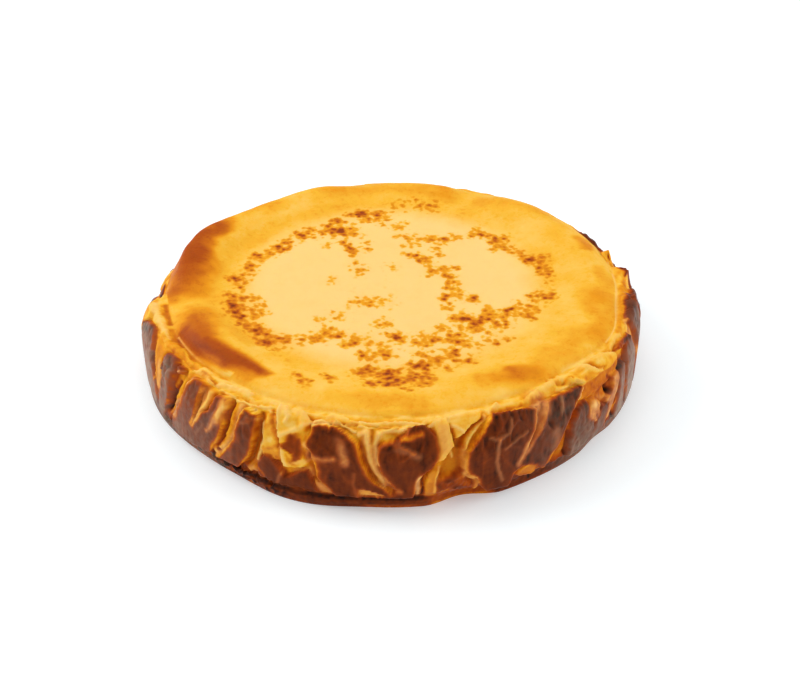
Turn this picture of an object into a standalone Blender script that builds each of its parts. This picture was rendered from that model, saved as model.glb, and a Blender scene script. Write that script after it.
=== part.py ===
"""A whole baked cheesecake, browned and creased where the baking paper held its side.

One closed solid in metres, +Z up. The origin is the middle of the flat underside.
Angles are in degrees round the cake: 0 at the front (-Y), 90 at +X.
"""
import math
import random

import bpy
from mathutils import Vector, noise

MM = 0.001

# Driving sizes, in millimetres
TIN_RADIUS = 120.0
TIN_SOFTNESS = 0.9
CENTRE_HEIGHT = 38.0
DISC_RADIUS = 67.0
FOOT_LIP_HEIGHT = 4.2
GROOVE_HEIGHT = 6.8
BELLY_HEIGHT = 12.0
SHOULDER_HEIGHT = 21.0
SIDE_HEIGHT = 29.0

# The cross-section at nine angles round the cake, in millimetres:
# angle, foot, belly, shoulder, side, lip radius, lip height, crease radius, crease height,
# crown radius, crown height, inner edge of the ring
SECTIONS = (
    (-180.0, 116.2, 119.4, 118.4, 115.4, 109.6, 32.4, 104.6, 33.6, 93.6, 40.4, 77.0),
    (-134.0, 116.0, 119.0, 117.6, 114.0, 108.6, 32.4, 104.6, 34.2, 95.6, 42.2, 77.0),
    (-103.0, 115.4, 117.6, 116.0, 112.0, 108.2, 33.0, 105.0, 34.8, 97.0, 42.0, 78.0),
    (-78.0, 117.4, 119.8, 119.4, 117.6, 113.2, 38.0, 106.0, 38.4, 96.0, 41.2, 78.0),
    (-45.0, 116.6, 119.4, 118.6, 116.6, 111.4, 38.8, 104.6, 38.4, 94.5, 41.4, 77.0),
    (0.0, 116.6, 119.4, 118.4, 115.8, 110.4, 39.2, 104.6, 39.2, 93.5, 41.6, 76.0),
    (45.0, 116.6, 119.4, 118.4, 116.4, 111.4, 39.0, 104.2, 39.2, 94.0, 41.8, 76.0),
    (78.0, 117.8, 120.0, 119.6, 118.2, 114.0, 38.6, 105.4, 39.0, 95.0, 41.6, 77.0),
    (110.0, 117.4, 119.6, 118.8, 116.6, 112.4, 35.0, 105.6, 36.0, 94.5, 41.4, 77.0),
)

# Swellings of the puffed ring: angle, half width, rise, push outwards
SWELLINGS = (
    (-108.0, 30.0, 3.6, 4.0),
    (-57.0, 23.0, 3.2, 2.2),
    (-157.0, 14.0, 0.9, 0.8),
    (174.0, 16.0, 1.2, 1.0),
    (136.0, 13.0, 1.4, 1.4),
    (56.0, 20.0, 0.8, 0.6),
)

# Hollows between the swellings: angle, half width, drop
HOLLOWS = (
    (-80.0, 9.0, 1.6),
    (-168.0, 8.0, 0.6),
    (153.0, 10.0, 2.8),
)

# Foot of the wall: angle, half width, push outwards (negative tucks it in)
FOOT_SHIFTS = (
    (-20.0, 17.0, 2.9),
    (15.5, 9.0, -3.8),
    (32.0, 12.0, -0.4),
    (52.0, 7.0, -1.2),
)

# Browned paddles pressed flat by the paper: angle at mid height, half width, growth of the
# half width for each mm upwards, lean in degrees for each mm, lowest point, highest point, rise
PADDLES = (
    (-77.0, 3.6, 0.02, 0.10, 3.0, 36.0, 1.6),
    (-67.0, 4.0, 0.02, 0.10, 3.0, 38.0, 2.0),
    (-57.2, 2.8, 0.03, 0.12, 6.0, 39.0, 2.4),
    (-48.2, 3.2, -0.03, 0.15, 7.0, 38.0, 2.8),
    (-40.6, 3.4, -0.07, 0.26, 7.0, 38.0, 2.3),
    (-31.8, 2.8, -0.02, 0.20, 7.0, 37.0, 2.8),
    (-25.3, 2.5, -0.06, 0.20, 6.0, 20.0, 1.7),
    (-18.2, 2.4, -0.08, 0.24, 6.0, 17.0, 1.5),
    (-10.3, 5.2, 0.02, -0.28, 6.5, 38.0, 2.9),
    (3.1, 4.4, 0.17, 0.05, 6.5, 38.6, 3.0),
    (11.4, 1.6, -0.02, 0.10, 7.0, 17.0, 1.3),
    (22.4, 6.2, 0.09, 0.17, 5.5, 38.6, 3.0),
    (34.2, 4.6, 0.07, 0.40, 8.0, 37.6, 2.7),
    (43.6, 3.0, -0.02, 0.10, 4.5, 29.0, 2.0),
    (51.0, 1.9, 0.0, 0.06, 5.0, 21.0, 1.4),
    (57.0, 2.1, 0.0, 0.06, 6.0, 32.0, 1.8),
    (62.2, 1.8, 0.0, 0.03, 4.5, 35.0, 2.1),
    (68.0, 2.6, 0.0, 0.04, 4.5, 37.0, 2.2),
    (76.0, 3.6, 0.02, 0.04, 4.5, 38.0, 2.3),
    (85.0, 3.4, 0.02, 0.04, 4.5, 37.0, 2.4),
)
BACK_START = 92.0
BACK_END = 277.0
BACK_WIDTHS = (2.4, 4.8)
BACK_GAPS = (1.6, 3.6)
BACK_RISES = (1.6, 2.8)
BACK_LEAN = 0.16
PADDLE_EDGE = 1.1
PADDLE_END = 2.2

# Folds of pale batter over the wall: angle of the crisp edge, side it fades to (+1 right),
# width, lean, lowest point, highest point, rise
FLAPS = (
    (-24.2, 1.0, 7.0, -0.09, 20.0, 41.0, 2.0),
    (12.2, -1.0, 4.0, -0.05, 26.0, 40.0, 2.4),
    (14.6, 1.0, 3.0, 0.20, 14.0, 39.0, 1.6),
    (52.6, -1.0, 8.5, 0.30, 35.0, 42.0, 2.2),
    (60.0, -1.0, 7.5, 0.20, 33.0, 42.0, 2.2),
    (-78.5, -1.0, 10.0, 0.10, 22.0, 40.0, 1.6),
)

# Thin tips of the crust standing at the rim: angle, half width, rise, push outwards
RIM_TIPS = (
    (98.0, 2.6, 3.2, 3.0),
    (106.5, 2.4, 3.4, 1.8),
    (113.0, 3.0, 2.2, 1.0),
    (84.0, 5.0, 1.2, 0.6),
    (-82.0, 3.0, 1.2, 0.4),
)

WALL_CRUMPLE = 0.7
LEDGE_CRUMPLE = 0.9
RING_CRUMPLE = 0.5
RANDOM_SEED = 24

COLUMNS = 216
WALL_ROWS = (0.0, 1.0, 2.0, 2.5, 3.0, 3.5, 4.0, 4.5, 5.0, 5.5, 6.0, 6.5, 7.0)
TOP_ROWS = (8.0, 9.0, 9.6, 10.2, 11.0, 12.0)
DISC_ROWS = (13.0, 13.5)
CORE_ROWS = (14.3,)

CRUST_COLOUR = (0.84, 0.43, 0.10, 1.0)


def clear_scene():
    for item in list(bpy.data.objects):
        bpy.data.objects.remove(item, do_unlink=True)


def turn(angle, other):
    """Signed angle from other to angle, in -180 to 180."""
    return (angle - other + 180.0) % 360.0 - 180.0


def ease(x):
    x = min(max(x, 0.0), 1.0)
    return x * x * (3.0 - 2.0 * x)


def hump(distance, half_width):
    """A smooth hill of height 1, nought beyond the half width."""
    if abs(distance) >= half_width:
        return 0.0
    return 0.5 + 0.5 * math.cos(math.pi * distance / half_width)


def crumple(angle, height, size, seed):
    """Soft noise on the surface, the same all the way round."""
    a = math.radians(angle)
    place = Vector((math.sin(a) * TIN_RADIUS, math.cos(a) * TIN_RADIUS, height)) / size
    return noise.noise(place + Vector((seed, seed, seed)))


def section_sizes(angle):
    """The cross-section's sizes at an angle, eased between the nine sections."""
    for index, section in enumerate(SECTIONS):
        following = SECTIONS[(index + 1) % len(SECTIONS)]
        span = (following[0] - section[0]) % 360.0
        along = (angle - section[0]) % 360.0
        if along < span:
            share = ease(along / span)
            return [a + (b - a) * share for a, b in zip(section[1:], following[1:])]
    return list(SECTIONS[0][1:])


def control_points(angle):
    """Radius and height of the cross-section, from the foot over the rim to the centre."""
    (foot, belly, shoulder, side, lip, lip_top, crease, crease_top,
     crown, crown_top, inner) = section_sizes(angle)
    for place, width, rise, push in SWELLINGS:
        share = hump(turn(angle, place), width)
        crown_top += rise * share
        crown += push * share
        inner += 0.4 * push * share
    for place, width, drop in HOLLOWS:
        crown_top -= drop * hump(turn(angle, place), width)
    for place, width, push in FOOT_SHIFTS:
        share = hump(turn(angle, place), width)
        foot += push * share
        belly += 0.35 * min(push, 0.0) * share
    for place, width, rise, push in RIM_TIPS:
        share = hump(turn(angle, place), width)
        lip_top += rise * share
        lip += push * share
    ring_step = crown_top - crease_top
    return (
        (foot, 0.0),
        (foot + 1.0, FOOT_LIP_HEIGHT),
        (0.6 * foot + 0.4 * belly - 1.0, GROOVE_HEIGHT),
        (belly, BELLY_HEIGHT),
        (shoulder, SHOULDER_HEIGHT),
        (side, SIDE_HEIGHT),
        (0.6 * lip + 0.4 * side, 0.25 * SIDE_HEIGHT + 0.75 * lip_top),
        (lip, lip_top),
        (0.55 * lip + 0.45 * crease, 0.5 * lip_top + 0.5 * crease_top + 0.5),
        (crease, crease_top),
        (crease - 2.6, crease_top + 0.55 * ring_step),
        (crown, crown_top),
        (0.5 * (crown + inner), 0.30 * CENTRE_HEIGHT + 0.70 * crown_top),
        (inner, CENTRE_HEIGHT + 0.8),
        (DISC_RADIUS, CENTRE_HEIGHT + 0.1),
        (0.5 * DISC_RADIUS, CENTRE_HEIGHT),
        (0.0, CENTRE_HEIGHT),
    )


def spline(points, row):
    """A Catmull-Rom curve through the control points, with its outward normal."""
    last = len(points) - 1
    index = min(int(row), last - 1)
    t = row - index
    p1 = Vector(points[index])
    p2 = Vector(points[index + 1])
    p0 = Vector(points[index - 1]) if index else 2.0 * p1 - p2
    p3 = Vector(points[index + 2]) if index + 2 <= last else 2.0 * p2 - p1
    place = 0.5 * (2.0 * p1 + (p2 - p0) * t + (2.0 * p0 - 5.0 * p1 + 4.0 * p2 - p3) * t * t
                   + (3.0 * p1 - p0 - 3.0 * p2 + p3) * t * t * t)
    slope = 0.5 * ((p2 - p0) + (4.0 * p0 - 10.0 * p1 + 8.0 * p2 - 2.0 * p3) * t
                   + (9.0 * p1 - 3.0 * p0 - 9.0 * p2 + 3.0 * p3) * t * t)
    normal = Vector((slope.y, -slope.x)).normalized()
    return place, normal


def back_paddles():
    """Paddles of uneven width for the stretch of the wall behind."""
    draw = random.Random(RANDOM_SEED)
    paddles = []
    angle = BACK_START
    while angle < BACK_END:
        width = draw.uniform(*BACK_WIDTHS)
        if angle + 2.0 * width > BACK_END:
            break
        paddles.append((
            angle + width,
            width,
            draw.uniform(-0.04, 0.06),
            draw.uniform(-0.4 * BACK_LEAN, BACK_LEAN),
            draw.uniform(3.0, 8.0),
            draw.choice((1.0, 1.0, 0.62)) * draw.uniform(31.0, 36.0),
            draw.uniform(*BACK_RISES),
        ))
        angle += 2.0 * width + draw.uniform(*BACK_GAPS)
    return paddles


def paddle_relief(angle, height, paddles):
    relief = 0.0
    for middle, half_width, growth, lean, low, high, rise in paddles:
        offset = turn(angle, middle + lean * (height - 20.0))
        reach = half_width + growth * (height - 20.0)
        across = ease((reach - abs(offset)) / PADDLE_EDGE + 0.5)
        along = ease((height - low) / PADDLE_END) * ease((high - height) / PADDLE_END + 0.5)
        relief = max(relief, rise * across * along)
    return relief


def flap_relief(angle, height):
    relief = 0.0
    for edge, side, width, lean, low, high, rise in FLAPS:
        offset = side * turn(angle, edge + lean * (height - 30.0))
        across = ease(offset / 0.8 + 0.5) * ease(1.0 - offset / width)
        along = ease((height - low) / 4.0) * ease((high - height) / 1.5 + 0.5)
        relief = max(relief, rise * across * along)
    return relief


def relief_at(angle, row, height, paddles):
    """How far the surface stands out from its smooth cross-section."""
    if row <= 1.0:
        return 0.5 * row * crumple(angle, height, 5.0, 3.0)
    if row <= 8.0:
        wall = ease((row - 1.2) / 1.2) * ease(8.0 - row)
        raised = max(paddle_relief(angle, height, paddles), flap_relief(angle, height))
        fine = WALL_CRUMPLE * crumple(angle, height, 6.0, 11.0)
        rim = LEDGE_CRUMPLE * ease(row - 6.0) * crumple(angle, height, 4.5, 17.0)
        return wall * (raised - 1.3 + fine) + rim
    if row <= 10.0:
        return LEDGE_CRUMPLE * (9.6 - row) * 0.7 * crumple(angle, 10.0 * row, 5.5, 23.0)
    if row <= 13.0:
        return RING_CRUMPLE * (13.0 - row) / 3.0 * crumple(angle, 8.0 * row, 16.0, 31.0)
    return 0.0


def held_by_tin(radius):
    """The tin's side stops whatever would stand out past it."""
    over = radius - TIN_RADIUS + TIN_SOFTNESS
    if over <= 0.0:
        return radius
    return TIN_RADIUS - TIN_SOFTNESS * math.exp(-over / TIN_SOFTNESS)


def surface_point(angle, row, paddles):
    place, normal = spline(control_points(angle), row)
    moved = place + normal * relief_at(angle, row, place.y, paddles)
    radius = held_by_tin(max(moved.x, 0.0))
    height = max(moved.y, 0.0) if row > 0.0 else 0.0
    a = math.radians(angle)
    return Vector((radius * math.sin(a), -radius * math.cos(a), height)) * MM


def make_ring(verts, count, row, paddles):
    start = len(verts)
    for column in range(count):
        verts.append(surface_point(360.0 * column / count, row, paddles))
    return [start + column for column in range(count)]


def join_equal(faces, lower, upper):
    count = len(lower)
    for j in range(count):
        k = (j + 1) % count
        faces.append((lower[j], lower[k], upper[k]))
        faces.append((lower[j], upper[k], upper[j]))


def join_halved(faces, lower, upper):
    """Joins a ring to one with half as many corners."""
    count = len(upper)
    for j in range(count):
        k = (j + 1) % count
        left = lower[2 * j]
        middle = lower[2 * j + 1]
        right = lower[(2 * j + 2) % (2 * count)]
        faces.append((left, middle, upper[j]))
        faces.append((middle, upper[k], upper[j]))
        faces.append((middle, right, upper[k]))


def build_cake():
    paddles = list(PADDLES) + back_paddles()
    verts = []
    faces = []
    rings = []
    for row in WALL_ROWS + TOP_ROWS:
        rings.append(make_ring(verts, COLUMNS, row, paddles))
    for row in DISC_ROWS:
        rings.append(make_ring(verts, COLUMNS // 2, row, paddles))
    for row in CORE_ROWS:
        rings.append(make_ring(verts, COLUMNS // 4, row, paddles))
    for lower, upper in zip(rings, rings[1:]):
        if len(lower) == len(upper):
            join_equal(faces, lower, upper)
        else:
            join_halved(faces, lower, upper)
    top = len(verts)
    verts.append(Vector((0.0, 0.0, CENTRE_HEIGHT * MM)))
    last = rings[-1]
    for j, corner in enumerate(last):
        faces.append((corner, last[(j + 1) % len(last)], top))
    under = len(verts)
    verts.append(Vector((0.0, 0.0, 0.0)))
    first = rings[0]
    for j, corner in enumerate(first):
        faces.append((first[(j + 1) % len(first)], corner, under))
    mesh = bpy.data.meshes.new("cheesecake")
    mesh.from_pydata(verts, [], faces)
    mesh.validate()
    mesh.shade_smooth()
    mesh.set_sharp_from_angle(angle=math.radians(60.0))
    return mesh


def crust_material():
    material = bpy.data.materials.new("baked_crust")
    material.use_nodes = True
    shader = material.node_tree.nodes["Principled BSDF"]
    shader.inputs["Base Color"].default_value = CRUST_COLOUR
    shader.inputs["Roughness"].default_value = 0.5
    shader.inputs["Metallic"].default_value = 0.0
    material.diffuse_color = CRUST_COLOUR
    return material


def main():
    clear_scene()
    mesh = build_cake()
    mesh.materials.append(crust_material())
    cake = bpy.data.objects.new("cheesecake", mesh)
    bpy.context.scene.collection.objects.link(cake)


main()
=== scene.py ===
import math
import random

import bpy
import numpy as np
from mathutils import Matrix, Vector, noise


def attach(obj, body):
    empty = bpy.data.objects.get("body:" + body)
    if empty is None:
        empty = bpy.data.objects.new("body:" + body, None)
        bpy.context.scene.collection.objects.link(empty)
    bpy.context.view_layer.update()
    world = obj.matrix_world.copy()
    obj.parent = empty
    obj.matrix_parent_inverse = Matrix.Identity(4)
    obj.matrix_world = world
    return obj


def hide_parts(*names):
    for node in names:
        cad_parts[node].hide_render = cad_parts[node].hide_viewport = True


# A whole baked cheesecake: pale sunken middle with brown freckles, puffed golden ring,
# and a side creased into brown paddles with golden valleys between them.
# Sizes are in millimetres and turned to metres when the mesh is made. Angles are degrees
# round the cake: 0 at the front (-Y), 90 at +X.

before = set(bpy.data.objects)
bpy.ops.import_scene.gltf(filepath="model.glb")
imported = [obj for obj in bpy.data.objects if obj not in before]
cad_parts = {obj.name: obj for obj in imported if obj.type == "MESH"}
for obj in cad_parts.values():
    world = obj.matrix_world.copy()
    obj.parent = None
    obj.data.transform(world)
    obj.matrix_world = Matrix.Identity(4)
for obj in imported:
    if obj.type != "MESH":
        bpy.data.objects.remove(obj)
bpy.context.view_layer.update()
print("frame loaded")

mm = 0.001


# camera

view = {
    "elevation": 35.5,      # degrees over the table
    "distance": 0.618,      # from the middle of the cake's foot
    "lens": 55.76,
    "sensor": 36.0,         # mm
    "shift": (0.0119, 0.0108),
}


def makeCamera():
    data = bpy.data.cameras.new("view")
    data.lens = view["lens"]
    data.sensor_width = view["sensor"]
    data.shift_x, data.shift_y = view["shift"]
    data.clip_start = 0.01
    camera = bpy.data.objects.new("view", data)
    tilt = math.radians(view["elevation"])
    reach = view["distance"]
    camera.location = (0.0, -reach * math.cos(tilt), reach * math.sin(tilt))
    camera.rotation_euler = (math.radians(90.0) - tilt, 0.0, 0.0)
    bpy.context.scene.collection.objects.link(camera)
    bpy.context.scene.camera = camera


makeCamera()
print("camera set")


# small shaping tools, all on whole arrays at once

def ease(x):
    x = np.clip(x, 0.0, 1.0)
    return x * x * (3.0 - 2.0 * x)


def fadeIn(value, start, span):
    return ease((value - start) / span)


def fadeOut(value, end, span):
    return ease((end - value) / span)


def turnFrom(angle, other):
    return (angle - other + 180.0) % 360.0 - 180.0


def spanShare(angle, start, end, edge):
    return ease(turnFrom(angle, start) / edge + 0.5) * ease(turnFrom(end, angle) / edge + 0.5)


def hump(distance, halfWidth):
    share = np.clip(np.abs(distance) / halfWidth, 0.0, 1.0)
    return 0.5 + 0.5 * np.cos(math.pi * share)


def blend(base, target, share):
    return base + (target - base) * share


# unevenness of the cake: size in mm, seed, octaves, and a share under 1 where it is drawn out upright
unevenness = {
    "broad": (6.0, 5.0, 1, 1.0),
    "broadUp": (6.0, 9.0, 1, 1.0),
    "fine": (2.2, 13.0, 2, 1.0),
    "fineUp": (1.7, 17.0, 2, 1.0),
    "valleyFloor": (5.0, 21.0, 2, 1.0),
    "veins": (9.0, 3.0, 2, 0.55),
    "pleats": (1.9, 47.0, 2, 0.2),
    "widePleats": (4.5, 57.0, 1, 0.3),
    "ledgeFolds": (6.5, 17.0, 2, 1.0),
    "ledgeLumps": (12.0, 19.0, 1, 0.5),
    "ledgeCrumbs": (2.8, 27.0, 2, 1.0),
    "creaseWaves": (14.0, 41.0, 1, 1.0),
    "creaseGaps": (11.0, 43.0, 1, 1.0),
    "ringWaves": (16.0, 31.0, 2, 1.0),
    "toastEdge": (13.0, 33.0, 1, 1.0),
    "toastFray": (5.0, 35.0, 1, 1.0),
}
octaveStep = (0.9, 2.0)             # how fast the octaves fade, and how much finer each is


def noiseOf(points, kind):
    size, seed, octaves, upright = unevenness[kind]
    shift = Vector((seed, 0.7 * seed, -seed))
    places = points * np.array((1.0, 1.0, upright))
    if octaves == 1:
        return np.array([noise.noise(Vector(p) / size + shift) for p in places])
    return np.array([noise.fractal(Vector(p) / size + shift, *octaveStep, octaves) for p in places])


# the cake's cross-section

cake = {
    "tinRadius": 120.0,
    "tinSoftness": 0.9,
    "centreHeight": 38.0,
    "discRadius": 67.0,
    "footLipHeight": 4.2,
    "grooveHeight": 6.8,
    "clearFoot": (-44.0, 9.0),      # degrees where the foot's lip stands clear of the wall
    "clearFade": 9.0,
    "bellyHeight": 12.0,
    "shoulderHeight": 21.0,
    "sideHeight": 29.0,
    # angle, foot, belly, shoulder, side, lip radius, lip height, crease radius, crease height,
    # crown radius, crown height, inner edge of the ring
    "sections": (
        (-180.0, 116.2, 119.4, 118.4, 115.4, 109.6, 32.4, 104.6, 33.6, 93.6, 40.4, 77.0),
        (-134.0, 116.0, 119.0, 117.6, 114.0, 108.6, 32.4, 104.6, 34.2, 95.6, 42.2, 77.0),
        (-103.0, 115.4, 117.4, 115.4, 111.2, 108.6, 32.3, 106.4, 34.6, 97.0, 42.0, 78.0),
        (-92.0, 116.2, 118.4, 116.8, 112.6, 109.4, 34.4, 106.2, 36.0, 96.8, 41.7, 78.0),
        (-78.0, 117.4, 119.8, 119.4, 117.6, 113.2, 38.0, 106.0, 38.4, 96.0, 41.2, 78.0),
        (-45.0, 116.6, 119.4, 118.6, 116.6, 111.4, 38.8, 104.6, 38.4, 94.5, 41.4, 77.0),
        (0.0, 116.6, 119.4, 118.4, 115.8, 110.4, 39.2, 104.6, 39.2, 93.5, 41.6, 76.0),
        (45.0, 116.6, 119.4, 118.4, 116.4, 111.4, 39.0, 104.2, 39.2, 94.0, 41.8, 76.0),
        (66.0, 117.4, 119.8, 119.2, 117.6, 113.6, 38.8, 109.2, 39.0, 96.5, 41.6, 76.6),
        (80.0, 117.8, 120.0, 119.6, 118.2, 113.8, 38.6, 107.0, 39.0, 96.0, 41.6, 77.0),
        (110.0, 117.4, 119.6, 118.6, 116.2, 111.6, 35.2, 108.8, 36.0, 98.0, 41.6, 77.0),
    ),
    # swellings of the puffed ring: angle, half width, rise, push outwards
    "swellings": (
        (-107.0, 30.0, 3.6, 5.0),
        (-57.0, 23.0, 3.2, 2.2),
        (-157.0, 14.0, 0.9, 0.8),
        (174.0, 16.0, 1.2, 1.0),
        (136.0, 13.0, 1.4, 1.4),
        (56.0, 20.0, 0.8, 0.6),
    ),
    # hollows between them: angle, half width, drop
    "hollows": (
        (-80.0, 9.0, 1.6),
        (-168.0, 8.0, 0.6),
        (153.0, 10.0, 2.8),
    ),
    # foot of the wall: angle, half width, push outwards
    "footShifts": (
        (-20.0, 17.0, 2.9),
        (-66.0, 26.0, 2.2),
        (76.0, 26.0, 1.6),
        (15.5, 9.0, -3.8),
        (32.0, 12.0, -0.4),
        (52.0, 7.0, -1.2),
    ),
    # thin tips of crust at the rim: angle, half width, rise, push outwards
    "rimTips": (
        (94.6, 3.2, 3.0, 2.6),
        (92.0, 1.4, 1.0, 0.6),
        (99.6, 3.6, -2.6, -1.6),
        (104.6, 1.9, 4.4, 0.4),
        (107.6, 1.4, 1.0, 0.0),
        (111.6, 3.0, 0.8, 0.0),
        (116.0, 2.2, 1.4, 0.2),
        (80.0, 7.0, 1.8, 0.3),
        (75.0, 2.4, 0.8, 0.3),
        (-87.0, 9.0, -2.4, -1.7),
    ),
}

meshPlan = {
    "columns": 960,
    "frontCrowding": 0.25,          # columns stand closer at the front than behind
    # rows in each span of the cross-section, from the foot to the middle
    "wallRows": (6, 5, 8, 13, 13, 12, 7),
    "ledgeRows": (4, 5, 3),
    "ringRows": (9, 8, 8),
    "discRows": (9, 24, 20),
    # up to this place in the cross-section the columns are divided by the second number
    "halvings": ((10.1, 1), (14.05, 2), (15.05, 4), (15.6, 8), (99.0, 16)),
}

# places in the cross-section where a look starts or ends, counted in the control points below
rowOf = {
    "footEnd": 3.0,
    "ledgeStart": 6.2,
    "rim": 7.0,
    "sheetsEnd": 8.8,
    "ringStart": 8.9,
    "wallEnd": 10.0,
    "ledgeEnd": 11.0,
}


def columnAngles(count):
    turn = np.linspace(-math.pi, math.pi, count, endpoint=False)
    return np.degrees(turn - meshPlan["frontCrowding"] * np.sin(turn))


def sectionSizes(angles):
    sections = np.array(cake["sections"])
    starts = sections[:, 0]
    index = np.searchsorted(starts, angles, side="right") - 1
    following = (index + 1) % len(starts)
    span = (starts[following] - starts[index]) % 360.0
    share = ease((angles - starts[index]) / span)[:, None]
    return blend(sections[index, 1:], sections[following, 1:], share).T.copy()


def controlPoints(angles):
    (foot, belly, shoulder, side, lip, lipTop, crease, creaseTop,
     crown, crownTop, inner) = sectionSizes(angles)
    for place, width, rise, push in cake["swellings"]:
        share = hump(turnFrom(angles, place), width)
        crownTop += rise * share
        crown += push * share
        crease += 0.3 * push * share        # a swelling carries the crease and the inner edge along
        inner += 0.4 * push * share
    for place, width, drop in cake["hollows"]:
        crownTop -= drop * hump(turnFrom(angles, place), width)
    for place, width, push in cake["footShifts"]:
        share = hump(turnFrom(angles, place), width)
        foot += push * share
        belly += 0.35 * min(push, 0.0) * share
    for place, width, rise, push in cake["rimTips"]:
        share = hump(turnFrom(angles, place), width) ** 1.5
        lipTop += rise * share
        lip += push * share
    even = np.ones_like(angles)
    clear = spanShare(angles, *cake["clearFoot"], cake["clearFade"])
    centre = cake["centreHeight"]
    sideTop = cake["sideHeight"]
    disc = cake["discRadius"]
    return np.array((                                                       # radius, height
        (foot, 0.0 * even),                                                 # 0 foot
        (foot + 0.2 + 0.8 * clear, cake["footLipHeight"] * even),           # 1 lip of the foot
        (0.6 * foot + 0.4 * belly + 0.3 - 1.3 * clear, cake["grooveHeight"] * even),
        (belly, cake["bellyHeight"] * even),                                # 3 belly
        (shoulder, cake["shoulderHeight"] * even),
        (side, sideTop * even),                                             # 5 upper side
        (0.6 * lip + 0.4 * side, 0.25 * sideTop + 0.75 * lipTop),
        (lip, lipTop),                                                      # 7 rim
        (0.55 * lip + 0.45 * crease, 0.5 * lipTop + 0.5 * creaseTop + 0.5),
        (crease, creaseTop),                                                # 9 crease under the ring
        (crease - 2.6, creaseTop + 0.55 * (crownTop - creaseTop)),
        (crown, crownTop),                                                  # 11 crown of the ring
        (0.5 * (crown + inner), 0.30 * centre + 0.70 * crownTop),
        (inner, (centre + 0.8) * even),                                     # 13 inner edge
        (disc * even, (centre + 0.1) * even),
        (0.5 * disc * even, centre * even),
        (0.0 * even, centre * even),                                        # 16 middle
    ))


# a smooth curve through the control points, and its outward direction
def splineAt(points, row):
    last = len(points) - 1
    index = min(int(row), last - 1)
    t = row - index
    p1 = points[index]
    p2 = points[index + 1]
    p0 = points[index - 1] if index else 2.0 * p1 - p2
    p3 = points[index + 2] if index + 2 <= last else 2.0 * p2 - p1
    place = 0.5 * (2.0 * p1 + (p2 - p0) * t + (2.0 * p0 - 5.0 * p1 + 4.0 * p2 - p3) * t * t
                   + (3.0 * p1 - p0 - 3.0 * p2 + p3) * t * t * t)
    slope = 0.5 * ((p2 - p0) + (4.0 * p0 - 10.0 * p1 + 8.0 * p2 - 2.0 * p3) * t
                   + (9.0 * p1 - 3.0 * p0 - 9.0 * p2 + 3.0 * p3) * t * t)
    length = np.maximum(np.hypot(slope[0], slope[1]), 1e-6)
    return place, np.array((slope[1], -slope[0])) / length


def rowList():
    rows = []
    start = 0
    for part in ("wallRows", "ledgeRows", "ringRows", "discRows"):
        for count in meshPlan[part]:
            rows += [start + k / count for k in range(count)]
            start += 1
    return rows


def columnsAt(row):
    for upTo, share in meshPlan["halvings"]:
        if row < upTo:
            return meshPlan["columns"] // share


# What shows on the wall, by its place on a chart of it: degrees round the cake, and height in mm.
# On the chart the rim lies at an even height, and the ledge behind it goes on upwards.

chartPlan = {
    "rimHeight": 40.0,
    "ledgeStep": 2.0,               # for each control point past the rim
    "mmPerDegree": 2.06,
}

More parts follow.
